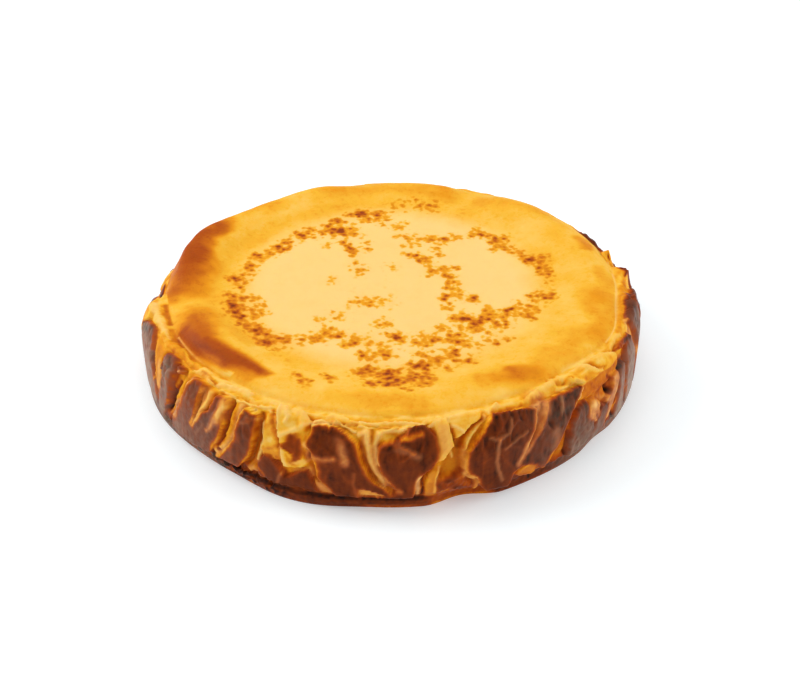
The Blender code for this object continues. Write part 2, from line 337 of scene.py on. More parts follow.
# Browned paddles and folds. Each outline is height, left edge, right edge, from the top down.
# rise is how far it stands out of the valleys, tone runs from 0 pale yellow to 1 near black,
# pale whitens it, and soft is how slowly its left, right, top and lower edges fall, in mm.
# spread widens the coloured margin and inset moves it inwards, in mm. mottle is its unevenness,
# and its greyish cast is painted sheen, standing in for light reflected off the browned crust.
sheets = {
    "far left side": {
        "rise": 1.8, "tone": 0.70, "paintedSheen": 0.5, "soft": (2.0, 2.4, 2.0, 3.0), "mottle": 0.2,
        "outline": ((38.8, -72.8, -69.6), (36, -75, -68.4), (33, -77, -67.3), (30, -78, -66.2),
                    (27, -78, -65), (23, -78, -64), (18, -78, -63.4), (12, -77, -63.6),
                    (3, -76, -64.4))},
    "left gold strip": {
        "rise": 0.6, "tone": 0.28, "soft": (2.0, 2.0, 2.0, 4.0),
        "outline": ((38, -66.5, -60.6), (32, -65.8, -61), (26, -63.6, -59.4), (21, -62.6, -59.6),
                    (17, -62.2, -60.8))},
    "silver paddle": {
        "rise": 2.4, "tone": 0.77, "paintedSheen": 0.42, "soft": (1.6, 1.4, 2.0, 3.0), "mottle": 0.42,
        "outline": ((39.9, -58.6, -56.2), (38, -59.8, -55.2), (35, -60.7, -54.8), (31, -60.4, -55.0),
                    (28, -59.4, -55.2), (22, -59.4, -55.6), (19, -60.2, -56.2), (15, -61.6, -57.2),
                    (10, -62, -58.2), (3, -63, -60.0))},
    "small knob": {
        "rise": 2.0, "tone": 0.68, "paintedSheen": 0.3, "soft": (0.9, 0.9, 0.9, 1.0), "spread": 0.55,
        "mottle": 0.2,
        "outline": ((38.4, -53.7, -52.7), (36.6, -54.1, -52.3), (34.8, -53.7, -52.7))},
    "second paddle": {
        "rise": 2.7, "tone": 0.72, "soft": (2.4, 1.0, 1.6, 3.0), "inset": 0.6,
        "outline": ((39.0, -46.0, -43.4), (38, -47.4, -43.2), (36, -48.6, -44.0), (34, -49.2, -44.6),
                    (30, -49.6, -44.9), (27, -50.2, -45.0), (22, -51.2, -45.6), (17, -52.4, -46.6),
                    (13, -54.2, -45.5), (7, -55, -45), (3, -56, -45))},
    "tan wedge": {
        "rise": 0.3, "tone": 0.30, "soft": (1.6, 1.0, 2.0, 2.0),
        "outline": ((38.6, -43.7, -41.2), (34, -44.4, -41.4), (29, -44.5, -42.0), (25, -44.8, -43.2),
                    (21, -45.6, -44.6), (17, -47.0, -46.4))},
    "third paddle": {
        "rise": 2.4, "tone": 0.76, "soft": (1.4, 0.8, 1.4, 3.0), "inset": 0.7,
        "outline": ((38.2, -38.4, -36.9), (36.8, -40.4, -36.6), (33, -41.2, -36.6), (30, -41.2, -36.8),
                    (26, -43.2, -37.0), (22, -44.8, -37.4), (17, -46.6, -38.5), (12, -48.0, -40.2),
                    (8, -48.5, -41.4), (3, -48.5, -42))},
    "fourth paddle": {
        "rise": 2.6, "tone": 0.78, "soft": (1.4, 1.0, 1.2, 2.0), "inset": 0.9, "mottle": 0.12,
        "outline": ((37.4, -31.8, -30.9), (36, -32.8, -28.4), (33, -33.2, -28.5), (28, -33.4, -28.8),
                    (22, -34.0, -29.2), (17, -35.6, -30.0), (13, -37.2, -31.4), (10, -39, -32.4),
                    (7.5, -41, -34))},
    "pale flute": {
        "rise": 0.7, "tone": 0.17, "pale": 0.05, "soft": (1.6, 2.4, 2.0, 2.0), "mottle": 0.22,
        "outline": ((38, -26.8, -24.6), (30, -27.1, -23.6), (24, -27.3, -22.8), (20, -26.8, -22.5))},
    "low paddle": {
        "rise": 1.9, "tone": 0.78, "soft": (1.2, 1.6, 1.2, 1.6),
        "outline": ((21, -26, -24.8), (18.5, -27.2, -23.6), (14, -28, -22.4), (10, -28.2, -21),
                    (6.8, -27.8, -20))},
    "brown root of the tongue": {
        "rise": 1.5, "tone": 0.80, "soft": (1.6, 1.2, 1.4, 1.6),
        "outline": ((18, -17.9, -16.8), (15, -19.8, -16.2), (12, -21.8, -15.6), (9, -23, -14.8),
                    (6.2, -23.5, -14.4))},
    "tongue": {
        "rise": 2.6, "tone": 0.06, "soft": (0.9, 4.0, 1.5, 1.2), "mottle": 0.10,
        "outline": ((42, -24.9, -18.8), (39, -24.5, -17.6), (35, -23.9, -17.4), (31, -23.2, -17.2),
                    (27, -22.7, -16.9), (23, -22.6, -16.6), (20, -22.3, -17.6), (18.0, -22.0, -20.6))},
    "burnt patch of the tongue": {
        "rise": 1.8, "tone": 0.62, "soft": (1.6, 1.6, 1.6, 1.6), "spread": 1.4,
        "outline": ((32.4, -20.8, -18.6), (29.5, -21.6, -18.2), (27.8, -23, -18), (26.4, -23.2, -17.6),
                    (25.4, -20.2, -17.6), (23.6, -19.8, -18.2), (22.0, -19.8, -19))},
    "tan pocket": {
        "rise": 0.2, "tone": 0.30, "pale": 0.2, "soft": (1.4, 1.2, 1.2, 1.0),
        "outline": ((14.4, -15.4, -14.8), (12.4, -15.2, -12.6), (9, -14.6, -11.7),
                    (6.2, -14.2, -11.0))},
    "fifth paddle": {
        "rise": 2.9, "tone": 0.81, "soft": (1.4, 1.6, 1.2, 1.6), "inset": 0.7, "mottle": 0.08,
        "outline": ((38.9, -14.6, -13.2), (37.8, -16.5, -10.4), (35.5, -16.6, -8.2), (33, -17.3, -6.8),
                    (30, -17.6, -6.2), (27.5, -16.2, -5.9), (24, -15.6, -5.2), (20, -15.2, -4.4),
                    (16, -15.0, -2.9), (13.5, -13.6, -1), (11, -12.2, 0.2), (8, -11.4, 1.5),
                    (5.8, -11.2, 1.5))},
    "gold pocket": {
        "rise": 0.8, "tone": 0.22, "pale": 0.15, "soft": (1.0, 1.0, 1.0, 1.0), "spread": 0.7,
        "outline": ((12.8, -6.4, -5.0), (11.4, -6.6, -2.6), (10, -6.4, -1.4), (8.6, -5.8, -1.0),
                    (7.4, -4.8, -2.0))},
    "sixth paddle": {
        "rise": 3.0, "tone": 0.82, "soft": (1.4, 1.4, 1.2, 1.6), "inset": 0.3, "mottle": 0.06,
        "outline": ((33.8, -1.4, 2.2), (31.4, -2.5, 6), (27, -2.5, 9.4), (23, -2.1, 8.2),
                    (20, -1.5, 6.4), (16, -0.2, 5.2), (13, 1.2, 4.9), (10.4, 0.4, 4.7), (8, -3, 4.6),
                    (5.8, -3, 4.6))},
    "crest of the sixth": {
        "rise": 3.0, "tone": 0.84, "soft": (1.4, 1.6, 1.0, 1.6),
        "outline": ((40.0, 6.0, 7.3), (38.8, 4.0, 8.0), (36.5, 3.0, 9.0), (34, 1.8, 9.6), (30, 1, 9.9),
                    (26, 1, 9.5), (22, 1, 8.0))},
    "warm face of the sixth": {
        "rise": 3.0, "tone": 0.68, "soft": (1.6, 1.8, 1.2, 2.0), "spread": 1.5,
        "outline": ((32.8, 1.9, 3.0), (30, 0.6, 4.4), (28, 0.4, 4.8), (26, 0.6, 4.4))},
    "gold strip": {
        "rise": 0.3, "tone": 0.33, "pale": 0.05, "soft": (0.6, 1.4, 1.6, 1.2),
        "outline": ((21, 7.6, 9.6), (14, 6.9, 9), (4, 6.8, 9.6))},
    "low mottled stretch": {
        "rise": 0.6, "tone": 0.50, "soft": (1.4, 1.4, 2.2, 1.2), "mottle": 0.3,
        "outline": ((17.5, 9.8, 14.4), (13, 9.2, 16), (8, 9.2, 17.5), (4, 9.6, 19))},
    "deep gold valley": {
        "rise": -2.8, "tone": 0.27, "soft": (2.4, 2.4, 2.0, 3.0),
        "outline": ((38, 12.4, 15.6), (30, 12.4, 14.4), (24, 10.4, 14.3), (18, 9.8, 14.0))},
    "tan fold": {
        "rise": 3.2, "tone": 0.22, "pale": 0.20, "soft": (2.6, 0.6, 2.0, 1.0), "spread": 0.8,
        "outline": ((41, 8.8, 12.1), (38, 9.0, 12.3), (34, 9.4, 12.6), (31, 9.6, 12.9),
                    (28.5, 9.4, 11.8), (26.5, 9.2, 10.7), (25, 9.0, 9.9))},
    "seventh paddle": {
        "rise": 3.0, "tone": 0.83, "soft": (1.5, 1.4, 1.0, 2.0), "inset": 0.4, "mottle": 0.07,
        "outline": ((40.0, 21.2, 22.4), (38.9, 20.6, 29.5), (37.4, 20.2, 32.2), (34, 18.6, 31.6),
                    (31, 17.0, 30.9), (28, 15.5, 30.1), (24, 14.9, 29.2), (20, 15.0, 28.2),
                    (17, 16.0, 27.8), (13.6, 17.8, 27.6), (12, 18.2, 26.0), (9, 18.8, 25.6),
                    (6, 19.6, 25), (2, 20.5, 24.5))},
    "eighth paddle": {
        "rise": 2.3, "tone": 0.89, "soft": (1.8, 1.3, 1.0, 1.6), "inset": 0.5, "mottle": 0.10,
        "outline": ((38.2, 35.4, 41), (37.0, 34.6, 45.6), (35, 34, 44.8), (32, 33, 42.8),
                    (28, 31.2, 40.8), (24, 29.7, 39.2), (20, 28.2, 38.0), (16, 27.0, 36.6),
                    (13.6, 27.6, 35.0), (12.4, 30.2, 34.8), (10.4, 31.6, 34.0), (9.0, 32.4, 33.4))},
    "gold bump": {
        "rise": 1.5, "tone": 0.33, "pale": 0.08, "soft": (1.6, 1.6, 1.2, 2.2), "spread": 1.3,
        "outline": ((13.2, 28.2, 30), (12, 26.8, 31), (10.4, 26.2, 31.6), (9.0, 26.8, 31.2),
                    (7.8, 28.4, 30.4))},
    "eighth valley": {
        "rise": -2.0, "tone": 0.32, "soft": (1.6, 1.6, 2.0, 2.0),
        "outline": ((28, 41.2, 42.8), (22, 38.8, 41.2), (16, 37.0, 40.6), (8, 36.0, 40.4))},
    "grey paddle": {
        "rise": 1.3, "tone": 0.87, "paintedSheen": 0.26, "soft": (1.2, 2.0, 2.0, 2.0), "spread": 0.5,
        "mottle": 0.14,
        "outline": ((29, 43.6, 46.4), (26, 42.4, 46.8), (22, 41.4, 46.8), (16, 40.8, 48.6),
                    (10, 40.6, 49), (5, 40.4, 50))},
    "brown floor of the hollow": {
        "rise": -0.6, "tone": 0.42, "soft": (1.6, 1.6, 1.6, 1.6), "mottle": 0.16,
        "outline": ((33, 46, 62), (29, 47.4, 60), (24, 49, 58), (20, 50, 58), (14, 52, 59))},
    "gold mottle": {
        "rise": 1.4, "tone": 0.34, "pale": 0.32, "soft": (1.4, 1.6, 1.4, 2.0), "mottle": 0.3,
        "outline": ((27.6, 47.0, 49.4), (24, 46.4, 50.6), (21, 46.0, 50.4), (18, 47.6, 51),
                    (15, 49.4, 51))},
    "second grey paddle": {
        "rise": 1.8, "tone": 0.82, "paintedSheen": 0.28, "soft": (1.6, 1.6, 1.6, 2.0), "mottle": 0.2,
        "outline": ((21.4, 51, 53.4), (18, 50.6, 54), (14, 49, 53), (9, 48.4, 53.4), (5, 48, 55))},
    "tan rib": {
        "rise": 2.0, "tone": 0.42, "pale": 0.38, "soft": (1.6, 1.4, 1.6, 2.0), "mottle": 0.2,
        "outline": ((31.5, 56, 59), (27, 55.8, 59), (24.6, 55.2, 58.4), (22.6, 52, 58), (20, 54, 57),
                    (15, 53.2, 55.4), (12, 52.6, 54.4))},
    "grey rib": {
        "rise": 2.2, "tone": 0.86, "paintedSheen": 0.58, "soft": (1.4, 1.4, 1.6, 2.0), "mottle": 0.12,
        "outline": ((32, 59.6, 62.2), (26, 59.2, 62.0), (20, 59.4, 62), (12, 58.6, 62.6), (4, 58, 63))},
    "third grey paddle": {
        "rise": 2.4, "tone": 0.86, "paintedSheen": 0.56, "soft": (1.4, 1.6, 1.2, 2.0), "mottle": 0.12,
        "outline": ((36.8, 65, 69), (34, 64, 69.4), (26, 63.4, 70.4), (15, 64.4, 71), (4, 64.8, 71.4))},
    "brown rim patch": {
        "rise": 1.6, "tone": 0.60, "paintedSheen": 0.0, "soft": (1.4, 1.2, 1.0, 1.2), "mottle": 0.2,
        "outline": ((40.2, 62.4, 64.6), (38.6, 60.8, 68), (37.2, 62.4, 68.6), (36.2, 65, 68))},
    "right side paddle": {
        "rise": 2.4, "tone": 0.88, "paintedSheen": 0.34, "soft": (1.6, 1.6, 1.0, 2.0), "mottle": 0.15,
        "outline": ((41.0, 72.6, 79.6), (37, 72.6, 80), (25, 73.4, 80), (12, 73.6, 79.8),
                    (4, 73.2, 79.4))},
    "dark side paddle": {
        "rise": 2.5, "tone": 0.95, "paintedSheen": 0.16, "soft": (1.4, 1.6, 1.0, 2.0), "mottle": 0.15,
        "outline": ((39.4, 82, 87.0), (32, 81.8, 88), (20, 82, 88), (6, 82, 87.4))},
    "dark side tip": {
        "rise": 2.2, "tone": 0.93, "paintedSheen": 0.1, "soft": (1.0, 1.0, 1.0, 2.0),
        "outline": ((42, 96.8, 99), (38, 95.4, 100), (28, 95, 100.5), (10, 95, 100))},
    # orange crust with painted shade under the two yellow folds
    "orange painted shade under the folds": {
        "rise": 0.8, "tone": 0.37, "soft": (1.2, 1.6, 1.0, 1.6), "mottle": 0.14,
        "outline": ((37, 46, 60), (35, 44.4, 60.4), (33, 43.6, 60), (31, 44.4, 58), (29.8, 47, 54))},
    "skin over the gold valley": {
        "rise": 1.2, "tone": 0.12, "pale": 0.05, "soft": (1.6, 1.4, 1.6, 1.6),
        "outline": ((42, 12, 20.4), (39.6, 12.2, 19.2), (37, 12.6, 17), (34.6, 12.8, 15.2),
                    (33, 13.2, 14.2))},
    "first yellow fold": {
        "rise": 2.4, "tone": 0.19, "soft": (2.4, 1.6, 2.4, 1.2), "mottle": 0.14,
        "outline": ((43, 43.6, 49), (41.5, 42.6, 50.2), (39.6, 43.2, 51.4), (37.8, 45.2, 52.6),
                    (36.2, 46, 53.4))},
    "second yellow fold": {
        "rise": 2.3, "tone": 0.14, "soft": (1.6, 2.0, 2.4, 1.6), "mottle": 0.14,
        "outline": ((43, 50.8, 56.5), (40.4, 51.2, 58.4), (37.6, 52.8, 59.8), (35.2, 54, 59.6))},
    "far left gold lobe": {
        "rise": 2.2, "tone": 0.20, "soft": (2.0, 1.2, 2.0, 2.0),
        "outline": ((41, -84, -77), (38, -85, -75), (32, -88, -77.5), (24, -91, -80), (16, -92, -84))},
}

plainSheet = {"pale": 0.0, "spread": 1.0, "inset": 0.0, "mottle": 0.07}

# Ridges and patches: points as (degrees, height), half width in mm, what they add to the relief,
# tone, and how far they whiten. Besides the crust's own colours, the whitening on ridges and edges
# is partly painted highlight, and dark strips in folds and beside edges are painted shade.
strips = [
    # round the silver paddle and the second paddle
    (((-61.6, 30), (-60.6, 25.6), (-60.4, 21)), 4.0, 0.4, 0.26, 0.25),
    # painted shadow in the valley right of the silver paddle
    (((-54.6, 26), (-55.0, 22), (-55.6, 17), (-57.0, 12)), 2.0, -1.0, 0.64, 0.0),
    (((-50.6, 38.6), (-51.2, 33), (-52.0, 27.6), (-52.9, 21)), 2.6, 0.8, 0.23, 0.0),
    # painted highlight on the small knob
    (((-53.5, 35.0), (-52.8, 36.2)), 0.9, 0.3, 0.44, 0.55),
    # pale left edge of the second paddle, partly painted highlight
    (((-48.9, 36), (-49.8, 31), (-50.9, 26), (-52.4, 20), (-54.0, 14)), 1.8, 0.8, 0.34, 0.60),
    (((-52.4, 21), (-53.2, 14)), 2.6, 0.4, 0.42, 0.40),
    # the tan wedge and the third paddle
    (((-43.6, 35.6), (-43.9, 30), (-44.7, 25)), 3.4, 0.2, 0.28, 0.15),
    (((-42.2, 36.4), (-42.4, 32.5), (-43.5, 27.6), (-45.0, 22), (-46.8, 17.4)), 2.2, 0.9, 0.18, 0.25),
    (((-37.6, 35.6), (-37.9, 31), (-38.6, 27.6)), 3.4, 0.6, 0.27, 0.20),
    (((-38.8, 27.4), (-40.0, 23.6), (-41.4, 19.4)), 2.2, 0.7, 0.42, 0.35),
    (((-37.3, 34.4), (-38.0, 30.2)), 1.6, 0.3, 0.18, 0.35),
    (((-36.2, 33), (-36.3, 29)), 1.6, 0.4, 0.62, 0.15),
    # the gold valley between the third and fourth paddles
    (((-34.6, 37.6), (-34.8, 32), (-35.4, 26), (-36.1, 21), (-37.7, 15.6), (-39.4, 11.4)),
     4.4, 1.4, 0.25, 0.0),
    (((-33.4, 37.6), (-33.5, 31), (-34.0, 26), (-35.0, 20.6), (-36.8, 15.2), (-39.4, 10.8)),
     1.9, 0.5, 0.15, 0.30),
    # the pale flute
    (((-28.0, 37), (-28.1, 29), (-28.5, 21), (-29.5, 14), (-30.6, 10)), 1.9, -0.4, 0.28, 0.0),
    (((-27.4, 34), (-27.4, 29), (-27.5, 22.6), (-28, 17)), 1.5, 0.9, 0.14, 0.35),
    (((-30.4, 9.2), (-29.4, 10.6), (-28.4, 8.8)), 2.2, 0.6, 0.28, 0.20),
    (((-27.7, 12.8), (-26.6, 10.6)), 1.5, 0.0, 0.42, 0.0),
    # edges of the tongue: pale crests, partly painted highlight
    (((-24.6, 41), (-24.2, 37), (-23.4, 31.4)), 1.5, 0.4, 0.03, 0.45),
    (((-23.3, 31), (-21.2, 34), (-18.8, 36.6), (-15.5, 39.2), (-11.6, 40)), 1.7, 0.8, 0.05, 0.32),
    (((-22.7, 26), (-22.4, 22.5), (-21.4, 19.2)), 1.7, 0.5, 0.08, 0.35),
    (((-20.4, 20.4), (-18.4, 22.4), (-16.5, 23.6), (-16.6, 27.4), (-17.6, 30.4)), 1.4, 0.6, 0.20, 0.20),
    (((-19.8, 16.4), (-18.2, 18.2), (-16.4, 19.4), (-15.8, 15.6)), 1.3, 0.5, 0.28, 0.10),
    # the fifth paddle
    (((-10.4, 33.6), (-9.7, 30), (-9.1, 25.4)), 4.0, -0.3, 0.52, 0.12),
    (((-9.9, 31.6), (-9.4, 28), (-8.9, 24.6)), 2.8, 0.0, 0.37, 0.25),
    (((-16.4, 25.8), (-13.6, 25.0), (-11.4, 26.2)), 2.4, 0.4, 0.42, 0.15),
    (((1.4, 32.2), (3.4, 30.8), (5.6, 28.0)), 2.6, 0.3, 0.60, 0.18),
    # gold flanks of the fourth, third and fifth paddles
    (((-28.4, 35.6), (-28.5, 30), (-28.7, 25), (-29.1, 20.5), (-29.8, 16.4)), 1.5, 0.0, 0.25, 0.0),
    (((-36.1, 34.6), (-36.2, 30), (-36.5, 26), (-36.9, 22), (-38.0, 17.4)), 1.4, 0.0, 0.27, 0.0),
    (((-6.3, 32), (-5.7, 28), (-5.0, 24), (-4.0, 20)), 1.5, 0.0, 0.30, 0.0),
    # the pale fold between the fifth and sixth paddles, and edges of the sixth
    (((-6.6, 36.0), (-5.0, 36.8), (-4.8, 33.6)), 1.6, 0.9, 0.08, 0.30),
    (((-5.1, 37.8), (-4.9, 33), (-4.6, 28.5), (-3.9, 24.5), (-2.7, 20), (-1.0, 15.8)),
     3.0, 0.9, 0.19, 0.32),
    (((-0.9, 15.8), (0.6, 13.4), (2.2, 12.0)), 1.7, 0.8, 0.46, 0.10),
    (((-2.5, 36.8), (-3.2, 33), (-3.1, 29), (-2.6, 25.2)), 1.9, 0.7, 0.12, 0.35),
    (((-2.5, 36.6), (-1, 37.6), (1.6, 37.4), (3.2, 38.6)), 1.6, 0.8, 0.05, 0.28),
    (((1.6, 35.4), (4, 35.9), (6.4, 36.8)), 2.0, 0.4, 0.34, 0.0),
    (((5.8, 18.6), (5.4, 13), (5.4, 8.0)), 1.9, 0.7, 0.26, 0.50),
    (((9.8, 21.4), (9.2, 16), (8.8, 9)), 1.2, 0.5, 0.20, 0.20),
    # the gold margin left of the seventh paddle
    (((20.6, 40.0), (18.8, 37.0), (17.0, 33.6), (15.6, 30)), 3.4, 1.2, 0.15, 0.0),
    (((20.2, 39.9), (18.2, 36.4), (16.4, 32.6), (15.0, 29)), 1.2, 0.6, 0.09, 0.20),
    (((15.0, 29.6), (14.7, 26), (14.7, 21), (15.3, 17), (16.6, 15), (17.8, 11.6), (17.8, 8)),
     2.1, 1.3, 0.30, 0.12),
    (((14.9, 18.4), (15.6, 16.2), (17.2, 13.8)), 1.9, 0.4, 0.20, 0.20),
    (((12.6, 27.4), (12.8, 25.4)), 1.0, 0.5, 0.14, 0.30),
    # the fold between the seventh and eighth paddles
    (((34.0, 39.4), (33.6, 36.4)), 6.6, 0.5, 0.36, 0.34),
    (((33.2, 37), (31.8, 31.6)), 4.2, 0.7, 0.32, 0.38),
    (((31.8, 32), (30.0, 26.4), (28.5, 21.6)), 3.0, 0.9, 0.36, 0.34),
    (((28.5, 22), (27.4, 18.4), (26.8, 15.8)), 2.2, 0.8, 0.46, 0.30),
    (((34.4, 29), (32.8, 25), (31.2, 20.6), (31.2, 16)), 2.4, -0.4, 0.78, 0.0),
    # margins of the eighth paddle
    # pale crest with a painted highlight
    (((45.2, 35.8), (43.3, 32.6), (42.0, 29.6), (41.0, 26.6), (39.8, 23)), 1.3, 1.2, 0.19, 0.50),
    (((42.2, 28), (40.4, 23.4), (39.1, 18.6), (38.2, 13.4), (37.4, 9.2)), 2.8, -0.4, 0.34, 0.0),
    (((36.6, 11), (34.6, 9.0), (32.0, 8.2), (29.6, 8.8)), 2.0, 0.3, 0.36, 0.0),
    (((39.8, 25), (38.4, 20.4), (37.2, 16.2), (35.8, 13.8)), 1.2, 0.4, 0.44, 0.35),
    (((40.4, 39.6), (43.6, 39.2), (46, 37.8)), 2.2, 0.5, 0.09, 0.0),
    (((38.7, 36.6), (38.3, 33.6), (38.0, 31)), 1.6, 0.5, 0.72, 0.35),
    (((35.8, 25), (36.4, 21), (36, 17.6)), 4.0, 0.4, 0.68, 0.20),
    # the grey paddles and the right side
    (((62.4, 34), (62.6, 28), (62.6, 21)), 1.5, 0.4, 0.42, 0.15),
    (((63, 19), (64.6, 13), (66.4, 7)), 1.3, 0.3, 0.50, 0.15),
    (((71.0, 38), (71.2, 33), (72.4, 27), (74.0, 21), (76, 14)), 2.6, 0.3, 0.30, 0.30),
    (((83.4, 17), (83.6, 12), (84.4, 6)), 2.2, 0.4, 0.34, 0.15),
    # brown marks on the left
    (((-92.2, 34.4), (-91.0, 33.4), (-89.0, 31.8), (-86.4, 29.4)), 3.8, 0.6, 0.86, 0.0),
    (((-77.4, 31.0), (-74.6, 32.6), (-71.6, 34.0)), 3.0, 0.2, 0.93, 0.0),
    # torn tips on the right
    (((118.4, 38.6), (114.6, 40.0), (111, 39.6), (107.6, 38.6)), 2.6, 0.8, 0.76, 0.0),
    (((104.9, 37.6), (104.9, 40.4)), 1.6, 0.0, 0.36, 0.0),
    (((103.0, 37.0), (103.8, 40.0)), 1.0, 0.0, 0.66, 0.0),
    (((97.2, 38), (95.6, 40.6), (93.6, 39.4)), 1.8, 0.3, 0.80, 0.0),
    (((99.6, 39.2), (97.4, 41.8), (94.8, 42.4)), 1.8, 0.5, 0.16, 0.0),
    # the gold mottle, with a painted highlight
    (((48.0, 25.6), (48.6, 24.6)), 2.2, 0.5, 0.24, 0.55),
    (((50.6, 26.6), (51.6, 24.6), (54, 23.4)), 1.8, 0.3, 0.34, 0.15),
    # painted highlights on the edges of the two folds on the right, and painted shade in their creases
    # and under them
    (((46.6, 42.2), (48.6, 41.4), (50.6, 39.2), (53.0, 36.6)), 1.3, 0.6, 0.05, 0.15),
    (((51, 41.6), (56, 41.2), (60, 38)), 1.3, 0.5, 0.06, 0.10),
    (((50.6, 41.4), (52.4, 39.0), (54.2, 37.0)), 1.2, -0.8, 0.20, 0.0),
    (((46.4, 36.2), (50, 36.0), (53.4, 36.2)), 0.9, -0.3, 0.24, 0.0),
    (((60.2, 40), (61.4, 41.4), (63.4, 41.6), (66, 41)), 1.4, 0.5, 0.07, 0.10),
    (((57.4, 41), (60, 40.2)), 1.3, -0.3, 0.18, 0.0),
    # folds of the ledge
    # painted highlight along the crease under the left swelling
    (((-64, 44.0), (-57, 44.1), (-51, 44.3)), 0.5, 0.2, 0.10, 0.40),
    (((-80, 40.6), (-74, 41.2), (-68.5, 41.2), (-64, 41)), 1.6, 0.9, 0.04, 0.30),
    (((-79, 43.4), (-74.5, 43.6), (-70, 43.6)), 2.0, -0.9, 0.34, 0.0),
    (((62, 44), (74, 44), (84, 44), (94, 44)), 0.9, 0.2, 0.08, 0.35),
    (((120, 41.4), (115, 41.6), (110, 41.6), (106.4, 41)), 3.6, 0.4, 0.90, 0.0),
    (((84.0, 40.4), (79, 41.0), (74.2, 40.4)), 2.6, 1.0, 0.88, 0.0),
    (((91, 40.4), (88.6, 41.2), (86, 41)), 1.8, 0.6, 0.30, 0.0),
    (((82.4, 41.2), (80, 42)), 1.2, 0.6, 0.60, 0.0),
    (((72.6, 40.6), (70.6, 39.4), (69.4, 37)), 1.6, 0.8, 0.14, 0.25),
    (((120, 44), (112, 44), (104, 44)), 0.9, 0.2, 0.08, 0.35),
    (((66, 42.2), (76, 42.4), (88, 42.2)), 1.6, 0.0, 0.22, 0.0),
    (((-67, 40.4), (-61, 41.2), (-55, 40.6)), 1.3, 0.4, 0.19, 0.0),
    (((-59, 43.2), (-54, 42.0), (-50, 42.2)), 0.8, 0.3, 0.14, 0.0),
    (((-50, 40.2), (-47, 41.4), (-43.4, 40.2)), 1.3, 0.7, 0.05, 0.20),
    (((-42.6, 41.0), (-40, 42.4), (-36.4, 42.6), (-33.4, 43.0)), 1.2, 0.6, 0.02, 0.25),
    (((-40.6, 40.2), (-37.6, 39.6), (-35.8, 38.4)), 1.2, 0.6, 0.07, 0.15),
    (((-35.4, 38.6), (-33.2, 39.6), (-31.6, 38.6)), 1.3, 0.8, 0.05, 0.25),
    (((-32.4, 41.4), (-30.2, 40.2), (-27.2, 40.6), (-26.2, 39.2)), 1.3, 0.8, 0.04, 0.25),
    (((-24.8, 40.6), (-23.2, 41.0), (-21.8, 39.6), (-22.2, 37.2)), 1.3, 0.7, 0.05, 0.30),
    (((-21.4, 41.4), (-18.4, 40.6), (-17.4, 39.4)), 1.2, 0.6, 0.05, 0.20),
    (((-28, 43.0), (-23, 42.6), (-19, 41.8)), 0.9, 0.3, 0.03, 0.20),
    (((-16.2, 39.6), (-13.8, 40.8), (-10.8, 40.2), (-8.8, 38.4), (-7.4, 37)), 1.2, 0.8, 0.04, 0.30),
    (((-9.4, 40.4), (-6, 41.5), (-1, 41.9), (4, 41.7), (7.6, 41)), 1.1, 0.6, 0.01, 0.25),
    (((-6.8, 39.9), (-4.6, 39.3), (-2.6, 40.1), (-0.4, 39.7)), 0.9, 0.5, 0.06, 0.15),
    (((0.2, 38.8), (1.6, 39.4), (2.6, 38.6)), 1.1, 0.7, 0.04, 0.25),
    (((8.4, 39.4), (10.6, 40.8), (12.4, 41.2)), 1.2, 0.5, 0.03, 0.20),
    (((12.4, 40.8), (15.4, 41.6), (18.4, 41.8), (20.2, 42.8)), 1.1, 0.5, 0.02, 0.20),
    # painted highlight on the yellow skin
    (((12.8, 38.4), (14.4, 37.2), (15.2, 35.6)), 1.1, 0.5, 0.05, 0.35),
    (((20.6, 41.8), (21.4, 40.8), (22.4, 41.2), (24.6, 43.2)), 1.0, 0.8, 0.03, 0.15),
    (((22.6, 40.6), (26, 40.8), (30, 40.8)), 1.6, 0.2, 0.22, 0.0),
    (((31.4, 41.0), (33.6, 41.8), (36.4, 42.4), (40.4, 42.2)), 1.2, 0.6, 0.05, 0.15),
    (((39.6, 39.6), (42.6, 39.2), (45.6, 38.0)), 1.4, 0.6, 0.04, 0.10),
    (((40.2, 43.6), (41.4, 42.0), (42.8, 43.2)), 1.0, 0.6, 0.06, 0.10),
]

